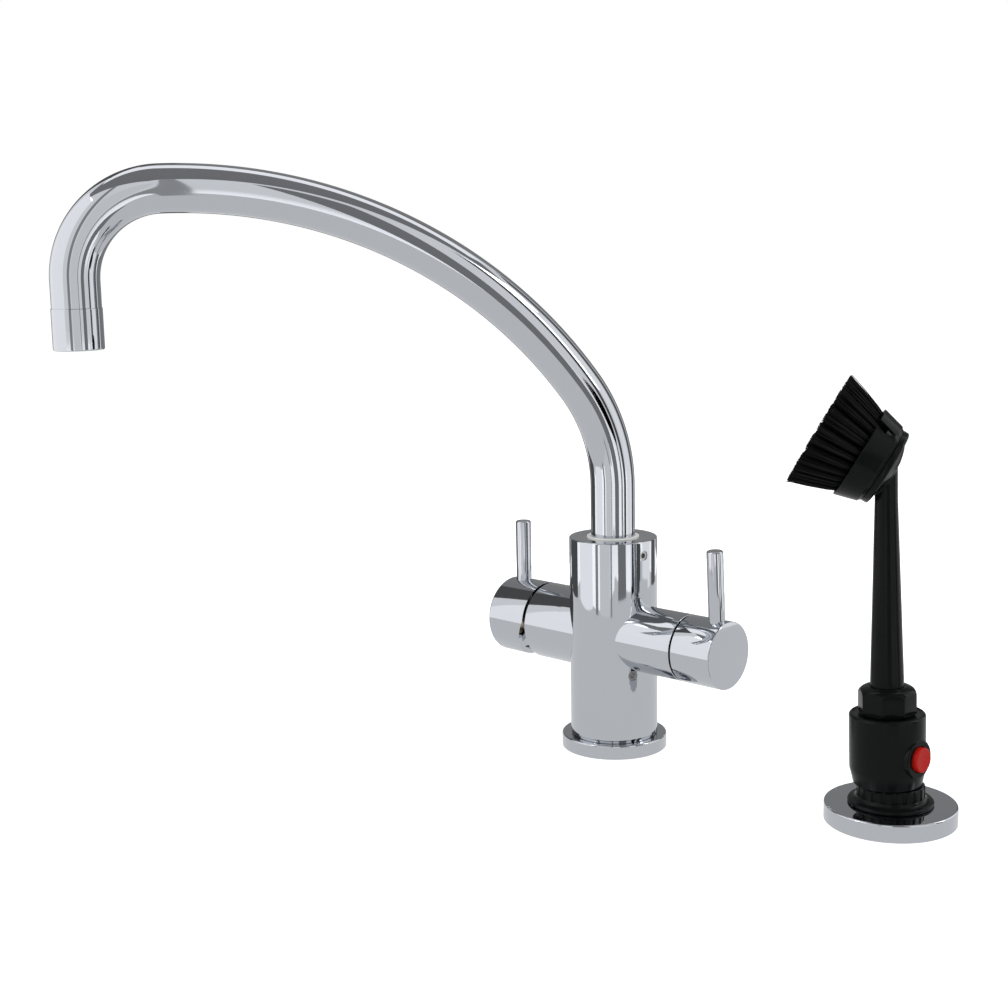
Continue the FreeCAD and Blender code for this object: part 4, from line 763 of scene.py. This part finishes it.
class BRUSH_OT_deck_ring(bpy.types.Operator):
    """Polished ring on the deck"""

    bl_idname = "tap_model.deck_ring"
    bl_label = "Deck ring"

    def execute(self, context):
        rounding = 0.8 * MM
        seal_r, seal_inner, seal_top = half_width("deck_ring_seal"), 18 * MM, high("deck_ring_seal").z
        outline = [
            (BUSH_SEAT, RING_TOP),
            (BUSH_SEAT, BUSH_FOOT),
            (RING_BORE, BUSH_FOOT),
            (RING_BORE, 0),
            (seal_inner, 0),
            (seal_inner, seal_top),
            (seal_r, seal_top),
            (seal_r, 0),
            (RING_R - EDGE, 0),
            (RING_R, EDGE),
            *arc((RING_R - rounding, RING_TOP - rounding), rounding, 0, 90),
        ]
        settle(turned(outline), "deck_ring", STATION, "tap", "chrome")
        return {"FINISHED"}


class BRUSH_OT_guide_bush(bpy.types.Operator):
    """Flared black bush with ribs round its neck"""

    bl_idname = "tap_model.guide_bush"
    bl_label = "Guide bush"

    def execute(self, context):
        sizes = context.scene.brush_sizes
        neck, collar = sizes.bush_neck, half_width("guide_bush")
        mouth, step, crown, shoulder = 0.4 * MM, 0.6 * MM, 0.7 * MM, 0.9 * MM
        outline = [
            (BUSH_BORE, BUSH_TOP - mouth),
            (BUSH_BORE, BUSH_FOOT + EDGE),
            (BUSH_SEAT - step, BUSH_FOOT + EDGE),
            (BUSH_SEAT - step, BUSH_FOOT),
            (BUSH_SEAT, BUSH_FOOT),
            (BUSH_SEAT, RING_TOP),
            (collar - 0.7 * MM, RING_TOP),
            *arc((collar - shoulder, RING_TOP + 0.95 * MM), shoulder, -50, 70, 8),
            *flare((collar - 1.2 * MM, RING_TOP + 1.9 * MM), (neck + 0.3 * MM, FLARE_TOP)),
            (neck, 11.8 * MM),
            (neck, BUSH_TOP - crown),
            (neck - crown, BUSH_TOP),
            (BUSH_BORE + mouth, BUSH_TOP),
        ]
        piece = turned(outline)
        for index in range(sizes.rib_count):
            angle = 360 / sizes.rib_count * index
            place = turn(angle, "Z") @ Matrix.Translation((neck + RIB_GAP_OUT, 0, 0))
            combine(piece, rod(RIB_GAP_R, RIBS_FOOT, BUSH_TOP + PAST, place, SMALL), "DIFFERENCE")
        settle(piece, "guide_bush", STATION, "tap", "black_plastic")
        return {"FINISHED"}


def flare(start, stop, steps=8):
    """A hollow curve that runs level at first and ends upright."""
    points = []
    for index in range(1, steps + 1):
        angle = math.pi / 2 * index / steps
        across = start[0] + (stop[0] - start[0]) * math.sin(angle)
        points.append((across, start[1] + (stop[1] - start[1]) * (1 - math.cos(angle))))
    return points


class BRUSH_OT_valve_body(bpy.types.Operator):
    """Black body of the hand unit, with the button's boss"""

    bl_idname = "tap_model.valve_body"
    bl_label = "Hand unit body"

    def execute(self, context):
        radius, top, rounding = 16.5 * MM, 31.5 * MM, 1.3 * MM
        outline = [
            (0, 0),
            (14.9 * MM, 0),
            (15.0 * MM, 0.3 * MM),
            (16.1 * MM, 5.2 * MM),
            (16.4 * MM, 6.4 * MM),
            (radius, 7.6 * MM),
            *arc((radius - rounding, top - rounding), rounding, 0, 90),
            (radius - 1.9 * MM, top - 0.5 * MM),
            (NECK_R, top - 0.7 * MM),
            (NECK_R, NECK_TOP),
            (0, NECK_TOP),
        ]
        piece = turned(outline)
        side, edge = HAND.inverted() @ BUTTON, 0.7 * MM
        boss_rim = arc((BOSS_R - edge, BOSS_FACE - edge), edge, 0, 90)
        boss = turned([(0, BUTTON_STOP), (BOSS_R, BUTTON_STOP), *boss_rim, (0, BOSS_FACE)], FINE)
        boss.data.transform(side)
        combine(piece, boss, "UNION")
        # the bezel's seat, the button's bore, the spring's pocket and the plunger's guide
        for bore, start, stop in (
            (BEZEL_R, BEZEL_BACK, 19 * MM),
            (6.7 * MM, BUTTON_STOP, 16 * MM),
            (5.2 * MM, SPRING_FLOOR, 11 * MM),
            (1.9 * MM, -8 * MM, 7 * MM),
        ):
            combine(piece, rod(bore, start, stop, side, FINE), "DIFFERENCE")
        combine(piece, rod(NIPPLE_SEAT_R, -PAST, NIPPLE_TOP, segments=FINE), "DIFFERENCE")
        combine(piece, rod(WAY_R, 11 * MM, NECK_TOP + PAST), "DIFFERENCE")
        settle(piece, "spray_valve_body", HAND, "spray_hand", "black_plastic")
        return {"FINISHED"}


class BRUSH_OT_button(bpy.types.Operator):
    """Red push button and the black bezel round it"""

    bl_idname = "tap_model.button"
    bl_label = "Push button"

    def execute(self, context):
        face, radius, rounding, dish, sunk = 18.8 * MM, 5.5 * MM, 0.7 * MM, 46 * MM, 0.25 * MM
        plunger, plunger_end, skirt, skirt_top = 1.8 * MM, -2.4 * MM, 6.55 * MM, 14.9 * MM
        outline = [
            (0, plunger_end),
            (plunger, plunger_end),
            (plunger, BUTTON_BACK),
            (skirt, BUTTON_BACK),
            (skirt, skirt_top),
            (radius, skirt_top),
            *arc((radius - rounding, face - rounding), rounding, 0, 90, 6),
            *arc((0, face + dish - sunk), dish, -84.1, -89, 4),
            (0, face - sunk),
        ]
        piece = turned(outline, FINE)
        settle(piece, "push_button", BUTTON, "button", "red_plastic")
        hole = 5.62 * MM
        outline = [
            (hole, BEZEL_BACK),
            (BEZEL_R, BEZEL_BACK),
            (BEZEL_R, BOSS_FACE),
            (6 * MM, BOSS_FACE),
            (hole, BOSS_FACE - 0.4 * MM),
        ]
        piece = turned(outline, FINE)
        settle(piece, "button_bezel", BUTTON, "spray_hand", "black_plastic")
        return {"FINISHED"}


class BRUSH_OT_button_spring(bpy.types.Operator):
    """Steel spring behind the button, wound at one fixed length"""

    bl_idname = "tap_model.button_spring"
    bl_label = "Button spring"

    def execute(self, context):
        wire, radius, room = 0.35 * MM, 4.2 * MM, 0.4 * MM
        foot, rise = SPRING_FLOOR + room, BUTTON_BACK - SPRING_FLOOR - 2 * room
        deselect()
        bpy.ops.mesh.primitive_circle_add(
            vertices=12, radius=wire, rotation=(math.pi / 2, 0, 0), location=(radius, 0, foot)
        )
        bpy.ops.object.transform_apply(location=True, rotation=True, scale=False)
        wound = {"angle": math.radians(360 * SPRING_TURNS), "screw_offset": rise}
        piece = apply(bpy.context.object, "SCREW", steps=SPRING_STEPS, render_steps=SPRING_STEPS, **wound)
        edit_all()
        bpy.ops.mesh.fill_holes(sides=0)
        bpy.ops.object.mode_set(mode="OBJECT")
        settle(piece, "button_spring", BUTTON, "spray_hand", "steel", math.pi / 3)
        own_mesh(piece)
        return {"FINISHED"}


class BRUSH_OT_union_nut(bpy.types.Operator):
    """Nut with eight flats and a domed crown"""

    bl_idname = "tap_model.union_nut"
    bl_label = "Union nut"

    def execute(self, context):
        foot, top, flats, sides = 31.6 * MM, 44.5 * MM, 11.75 * MM, 8
        crown_r, roof = 14 * MM, top - 0.9 * MM
        deselect()
        corner = flats / math.cos(math.pi / sides)
        bpy.ops.mesh.primitive_cylinder_add(vertices=sides, radius=corner, depth=top - foot)
        piece = bpy.context.object
        piece.data.transform(turn(180 / sides + NUT_TURN, "Z"))
        piece.data.transform(Matrix.Translation((0, 0, (top + foot) / 2)))
        outline = [
            (0, foot),
            (flats + 0.3 * MM, foot),
            (crown_r, foot + 1.5 * MM),
            (crown_r, 38.6 * MM),
            *arc((8.6 * MM, 38.9 * MM), 4.4 * MM, 15, 82, 8),
            (8.6 * MM, roof),
            (0, roof),
        ]
        combine(piece, turned(outline, HALF_ROUND), "INTERSECT")
        round_edges(piece, 0.45 * MM, 3, 25)
        combine(piece, rod(9.45 * MM, foot - PAST, 40.7 * MM, segments=FINE), "DIFFERENCE")
        combine(piece, rod(7.45 * MM, 40 * MM, top + PAST, segments=FINE), "DIFFERENCE")
        settle(piece, "union_nut", HAND, "spray_hand", "black_plastic")
        return {"FINISHED"}


class BRUSH_OT_handle(bpy.types.Operator):
    """Tapered handle that flows into the tilted disc"""

    bl_idname = "tap_model.handle"
    bl_label = "Handle"

    def execute(self, context):
        sizes = context.scene.brush_sizes
        foot_r, top_r, collar_r, collar_foot, collar_top = 7.3 * MM, 4.9 * MM, 8.8 * MM, 38.1 * MM, 40.6 * MM
        outline = [
            (0, collar_foot),
            (collar_r, collar_foot),
            (collar_r, collar_top),
            (foot_r, collar_top),
            (foot_r, 45 * MM),
            (top_r, HEAD_HEIGHT - 14 * MM),
            (top_r, HEAD_HEIGHT),
            (0, HEAD_HEIGHT),
        ]
        grip = turned(outline, FINE)
        rim, thick = sizes.disc_radius, sizes.disc_thick
        outline = [
            (0, -2.0 * MM),
            (5.4 * MM, -1.55 * MM),
            (8.2 * MM, -0.9 * MM),
            (10.65 * MM, -0.05 * MM),
            (13.1 * MM, 1.0 * MM),
            (rim - 0.8 * MM, 1.2 * MM),
            (rim, 1.7 * MM),
            (rim, thick),
            (0, thick),
        ]
        disc = turned(outline, HALF_ROUND)
        head_on_hand = HAND.inverted() @ HEAD
        disc.data.transform(head_on_hand)
        combine(grip, disc, "UNION")
        # the grip's top stands through the disc and is cut level with its face
        front = rod(rim - 3 * MM, thick, thick + 12 * MM, head_on_hand, FINE)
        combine(grip, front, "DIFFERENCE")
        apply(grip, "REMESH", mode="VOXEL", voxel_size=0.4 * MM)
        apply(grip, "SMOOTH", factor=0.5, iterations=5)
        settle(grip, "brush_handle", HAND, "spray_hand", "black_plastic", math.pi / 3)
        return {"FINISHED"}


class BRUSH_OT_cup(bpy.types.Operator):
    """Bristle cup with its split band"""

    bl_idname = "tap_model.cup"
    bl_label = "Bristle cup"

    def execute(self, context):
        sizes = context.scene.brush_sizes
        base = sizes.disc_thick + 0.05 * MM
        mouth = sizes.disc_thick + sizes.cup_depth
        back, rim, rise, edge = sizes.cup_back, sizes.cup_rim, 6.2 * MM, 0.6 * MM
        way, floor, wall = 3.2 * MM, base + 3.4 * MM, 1.6 * MM
        slope = (rim - back) / (mouth - (base + edge))
        cup_rim = back + slope * (rise - edge)
        outline = [
            (way, floor),
            (way, base),
            *arc((back - edge, base + edge), edge, -90, 0, 5),
            (cup_rim, base + rise),
            (cup_rim - wall, base + rise),
            (cup_rim - wall, floor),
        ]
        settle(turned(outline), "brush_cup", HEAD, "spray_hand", "black_plastic")
        band_foot, thick, gap, lip = base + 0.8 * MM, 1.0 * MM, 0.06 * MM, 0.4 * MM
        inner = back + slope * 0.2 * MM + gap
        outline = [
            (inner, band_foot),
            *arc((back, band_foot + thick), thick, -60, 0, 5),
            *arc((rim + thick - lip, mouth - lip), lip, 10, 90, 4),
            (rim + gap, mouth),
        ]
        band = turned(outline)
        point, wide, start, stop = 1.2 * MM, 4.4 * MM, base - PAST, mouth + 3 * MM
        notch = turned([(0, start), (point, start), (wide, stop), (0, stop)], 4)
        notch.data.transform(turn(BAND_SPLIT, "Z") @ Matrix.Translation((0, rim, 0)) @ turn(45, "Z"))
        combine(band, notch, "DIFFERENCE")
        settle(band, "cup_band", HEAD, "spray_hand", "black_plastic")
        return {"FINISHED"}


class BRUSH_OT_bristles(bpy.types.Operator):
    """Tufts of nylon filaments that flare towards their uneven tips"""

    bl_idname = "tap_model.bristles"
    bl_label = "Bristles"

    def execute(self, context):
        sizes = context.scene.brush_sizes
        chance = random.Random(7)
        foot = sizes.disc_thick + 6.25 * MM
        full = sizes.disc_thick + sizes.cup_depth + sizes.bristle_length - foot
        template = filament_template(sizes.filament)
        field = bmesh.new()
        for ring, (share, count, shortest) in enumerate(TUFT_RINGS):
            for index in range(count):
                angle = 2 * math.pi * (index + 0.5 * (ring % 2)) / count + chance.uniform(-0.03, 0.03)
                tuft_length = full * chance.uniform(shortest, 1.0)
                end = (sizes.bristle_spread - TUFT_SPREAD) * share * chance.uniform(0.975, 1.0)
                for _ in range(sizes.filaments):
                    add_filament(field, template, chance, angle, ROOT_FIELD * share, end, foot, tuft_length)
        data = bpy.data.meshes.new("bristles")
        field.to_mesh(data)
        field.free()
        piece = bpy.data.objects.new("bristles", data)
        bpy.context.scene.collection.objects.link(piece)
        settle(piece, "bristles", HEAD, "spray_hand", "bristle_fibre", math.pi / 3)
        return {"FINISHED"}


def filament_template(thickness):
    """One straight filament of unit height, in three lengths, drawn in at its tip."""
    lengths, tip_share = 3, 0.6
    piece = ring_of(thickness / 2, 0, 5)
    edit_all()
    bpy.ops.mesh.edge_face_add()
    for _ in range(lengths):
        extrude_up(1 / lengths)
    bpy.ops.transform.resize(value=(tip_share, tip_share, 1), center_override=(0, 0, 1))
    bpy.ops.object.mode_set(mode="OBJECT")
    data = piece.data
    bpy.data.objects.remove(piece)
    return data


def add_filament(field, template, chance, angle, root, end, foot, tuft_length):
    """One filament of a tuft: close at the root, spread and a little bent at its tip."""
    around, off = chance.uniform(0, 2 * math.pi), math.sqrt(chance.random())
    aside = Vector((math.cos(around), math.sin(around), 0))
    outward = Vector((math.cos(angle), math.sin(angle), 0))
    height = tuft_length * (1 - TUFT_STEP * off * chance.random())
    bend = Vector((chance.uniform(-1, 1), chance.uniform(-1, 1), 0)) * TUFT_BEND
    start, stop = outward * root + aside * ROOT_SPREAD * off, outward * end + aside * TUFT_SPREAD * off
    made = []
    for vertex in template.vertices:
        along = vertex.co.z
        # the tufts lean out at once and fill the band's mouth, then straighten a little
        path = start.lerp(stop, along ** TUFT_LEAN) + bend * math.sin(math.pi * along)
        made.append(field.verts.new((path.x + vertex.co.x, path.y + vertex.co.y, foot + height * along)))
    for face in template.polygons:
        field.faces.new([made[index] for index in face.vertices])


# ---------------------------------------------------------------------------------------------------------
# Pieces that keep their construction shape
# ---------------------------------------------------------------------------------------------------------
class TAP_OT_inner_parts(bpy.types.Operator):
    """Finishes for the seals, discs, cartridges and screws"""

    bl_idname = "tap_model.inner_parts"
    bl_label = "Inner parts"

    def execute(self, context):
        slots = {part["node"]: part["material_slot"] for part in frame["record"]["subparts"]}
        for name, piece in frame["nodes"].items():
            material = finish_of(slots[name])
            for place in piece.material_slots:
                place.material = material
        return {"FINISHED"}


# ---------------------------------------------------------------------------------------------------------
# Stage
# ---------------------------------------------------------------------------------------------------------
CAMERA_PLACE = Vector((0.504378, -0.604058, 0.258123))
CAMERA_FORWARD = Vector((-0.68258994, 0.71146506, -0.16699835))
CAMERA_UP = Vector((-0.10242083, 0.13312578, 0.98579283))
FOCAL_PIXELS, IMAGE_PIXELS, SENSOR = 1597.08, 1008, 36.0
CAMERA_AZIMUTH = math.degrees(math.atan2(-CAMERA_FORWARD.y, -CAMERA_FORWARD.x))
AIM = Vector((0, 0, 0.1))
WHITE = (1, 1, 1, 1)
# soft boxes: azimuth from the camera's side and elevation in degrees, distance, size and watts
LAMPS = {
    "left_box": (-75, 32, 1.5, 0.9, 10.0),
    "right_box": (80, 30, 1.5, 0.7, 7.0),
    "top_box": (0, 80, 1.6, 1.1, 9.0),
}
# cards that only mirrors see: azimuth from the camera's side and width in degrees, then distance, foot,
# top and brightness
CARDS = (
    (-78, 40, 0.42, 0.0, 0.50, 1.30),
    (-46, 7, 0.42, 0.0, 0.60, 0.35),
    (-25, 26, 0.42, 0.0, 0.45, 0.90),
    (-9, 4, 0.42, 0.0, 0.60, 0.40),
    (18, 20, 0.42, 0.0, 0.60, 0.25),
    (46, 10, 0.42, 0.0, 0.50, 1.00),
    (63, 12, 0.42, 0.0, 0.60, 0.10),
    (90, 28, 0.42, 0.0, 0.50, 1.20),
    (122, 22, 0.42, 0.0, 0.60, 0.15),
    (-125, 34, 0.42, 0.0, 0.60, 0.10),
    (180, 84, 0.46, 0.0, 0.92, 0.28),
)


class TAP_OT_stage(bpy.types.Operator):
    """Pale floor, soft lamps, reflection cards and the camera"""

    bl_idname = "tap_model.stage"
    bl_label = "Stage"

    def execute(self, context):
        set_camera(context.scene)
        set_world(context.scene)
        make_floor(context.scene.stage_settings)
        make_lamps()
        make_cards()
        context.scene.view_settings.view_transform = "Standard"
        return {"FINISHED"}


def set_camera(scene):
    right = CAMERA_FORWARD.cross(CAMERA_UP).normalized()
    matrix = Matrix((right, CAMERA_UP, -CAMERA_FORWARD)).transposed().to_4x4()
    matrix.translation = CAMERA_PLACE
    deselect()
    bpy.ops.object.camera_add()
    camera = bpy.context.object
    camera.name = "photo_camera"
    camera.matrix_world = matrix
    camera.data.sensor_width = SENSOR
    camera.data.lens = FOCAL_PIXELS * SENSOR / IMAGE_PIXELS
    camera.data.clip_start = 0.01
    camera.data.clip_end = 20
    scene.camera = camera


def seen_directly(tree):
    """1 for the camera and for what mirrors and glass show, else 0."""
    path = node(tree, "ShaderNodeLightPath")
    first, both = (node(tree, "ShaderNodeMath", operation="MAXIMUM") for _ in range(2))
    link(tree, path, "Is Camera Ray", first, 0)
    link(tree, path, "Is Glossy Ray", first, 1)
    link(tree, first, 0, both, 0)
    link(tree, path, "Is Transmission Ray", both, 1)
    return both


def set_world(scene):
    world = bpy.data.worlds.new("pale_room")
    scene.world = world
    world.use_nodes = True
    tree = world.node_tree
    tree.nodes.clear()
    shown = node(tree, "ShaderNodeBackground")
    shown.inputs["Color"].default_value = WHITE
    lighting = node(tree, "ShaderNodeBackground")
    lighting.inputs["Color"].default_value = WHITE
    lighting.inputs["Strength"].default_value = scene.stage_settings.world_level
    blend = node(tree, "ShaderNodeMixShader")
    end = node(tree, "ShaderNodeOutputWorld")
    link(tree, seen_directly(tree), 0, blend, 0)
    link(tree, lighting, 0, blend, 1)
    link(tree, shown, 0, blend, 2)
    link(tree, blend, 0, end, "Surface")


def bare_material(piece):
    """A material with no nodes yet, on a piece of the stage; returns its node tree."""
    material = bpy.data.materials.new(piece.name)
    material.use_nodes = True
    material.node_tree.nodes.clear()
    piece.data.materials.append(material)
    return material.node_tree


def make_floor(settings):
    deselect()
    bpy.ops.mesh.primitive_plane_add(size=12, location=(0, 0, -0.2 * MM))
    floor = bpy.context.object
    floor.name = "pale_floor"
    tree = bare_material(floor)
    dull = node(tree, "ShaderNodeBsdfDiffuse")
    dull.inputs["Color"].default_value = (*[settings.floor_shade] * 3, 1)
    glow = node(tree, "ShaderNodeEmission")
    scaled = node(tree, "ShaderNodeMath", operation="MULTIPLY")
    scaled.inputs[1].default_value = settings.floor_glow
    total = node(tree, "ShaderNodeAddShader")
    end = node(tree, "ShaderNodeOutputMaterial")
    link(tree, seen_directly(tree), 0, scaled, 0)
    link(tree, scaled, 0, glow, "Strength")
    link(tree, dull, 0, total, 0)
    link(tree, glow, 0, total, 1)
    link(tree, total, 0, end, "Surface")


def make_lamps():
    """Soft boxes high on the left and the right, and one overhead."""
    for name, (azimuth, elevation, distance, size, power) in LAMPS.items():
        place = AIM + direction(CAMERA_AZIMUTH + azimuth, elevation) * distance
        deselect()
        bpy.ops.object.light_add(type="AREA", location=place)
        lamp = bpy.context.object
        lamp.name = name
        lamp.rotation_euler = (place - AIM).to_track_quat("Z", "Y").to_euler()
        lamp.data.shape = "SQUARE"
        lamp.data.size = size
        lamp.data.energy = power


def direction(azimuth, elevation):
    around, up = math.radians(azimuth), math.radians(elevation)
    return Vector((math.cos(around) * math.cos(up), math.sin(around) * math.cos(up), math.sin(up)))


def make_cards():
    """Grey, black and white cards stand round the tap for its polish to mirror."""
    for index, (azimuth, width, distance, foot, top, brightness) in enumerate(CARDS):
        out = direction(CAMERA_AZIMUTH + azimuth, 0)
        centre = out * distance + Vector((0, 0, (foot + top) / 2))
        across = 2 * distance * math.tan(math.radians(width / 2))
        card(f"card_{index}", centre, out, across, top - foot, brightness)
    up, away = Vector((0, 0, 1)), -direction(CAMERA_AZIMUTH, 0)
    card("ceiling_card", up * 0.95, up, 1.3, 1.3, 0.25)
    card("ceiling_strip", away * 0.27 + up * 0.94, up + away * 0.001, 1.3, 0.34, 1.40)
    card("floor_card", up * -0.1 * MM, up, 0.9, 0.9, 0.80)


def card(name, centre, facing_back, wide, tall, brightness):
    deselect()
    bpy.ops.mesh.primitive_plane_add(size=1, location=(0, 0, 0))
    piece = bpy.context.object
    piece.name = name
    piece.data.transform(Matrix.Diagonal((wide, tall, 1, 1)))
    turned_back = facing_back.to_track_quat("Z", "Y").to_matrix().to_4x4()
    piece.matrix_world = Matrix.Translation(centre) @ turned_back
    tree = bare_material(piece)
    glow = node(tree, "ShaderNodeEmission")
    glow.inputs["Strength"].default_value = brightness
    end = node(tree, "ShaderNodeOutputMaterial")
    link(tree, glow, 0, end, "Surface")
    for kind in ("camera", "diffuse", "transmission", "volume_scatter", "shadow"):
        setattr(piece, f"visible_{kind}", False)


# ---------------------------------------------------------------------------------------------------------
# Panel and registration
# ---------------------------------------------------------------------------------------------------------
PIECES = (
    TAP_OT_base_flange,
    TAP_OT_column,
    TAP_OT_spout,
    TAP_OT_outlet,
    TAP_OT_mixer_handle,
    TAP_OT_valve_handle,
    BRUSH_OT_deck_ring,
    BRUSH_OT_guide_bush,
    BRUSH_OT_valve_body,
    BRUSH_OT_button,
    BRUSH_OT_button_spring,
    BRUSH_OT_union_nut,
    BRUSH_OT_handle,
    BRUSH_OT_cup,
    BRUSH_OT_bristles,
    TAP_OT_inner_parts,
    TAP_OT_stage,
)
SETTINGS = (
    ("tap_sizes", TapSizes),
    ("brush_sizes", BrushSizes),
    ("tap_colours", TapColours),
    ("stage_settings", StageSettings),
)


class TAP_PT_sidebar(bpy.types.Panel):
    """Buttons and settings for the tap"""

    bl_idname = "TAP_PT_sidebar"
    bl_label = "Kitchen tap"
    bl_space_type = "VIEW_3D"
    bl_region_type = "UI"
    bl_category = "Tap"

    def draw(self, context):
        for operator in PIECES:
            self.layout.operator(operator.bl_idname)
        for name, settings in SETTINGS:
            box = self.layout.box()
            for key in settings.__annotations__:
                box.prop(getattr(context.scene, name), key)


def register():
    for name, settings in SETTINGS:
        bpy.utils.register_class(settings)
        setattr(bpy.types.Scene, name, bpy.props.PointerProperty(type=settings))
    for item in (*PIECES, TAP_PT_sidebar):
        bpy.utils.register_class(item)


def unregister():
    for item in reversed((*PIECES, TAP_PT_sidebar)):
        bpy.utils.unregister_class(item)
    for name, settings in reversed(SETTINGS):
        delattr(bpy.types.Scene, name)
        bpy.utils.unregister_class(settings)


def main():
    register()
    bpy.ops.tap_model.stage()
    for operator in PIECES:
        if operator is not TAP_OT_stage:
            getattr(bpy.ops.tap_model, operator.bl_idname.split(".")[1])()
    deselect()


if __name__ == "__main__":
    main()
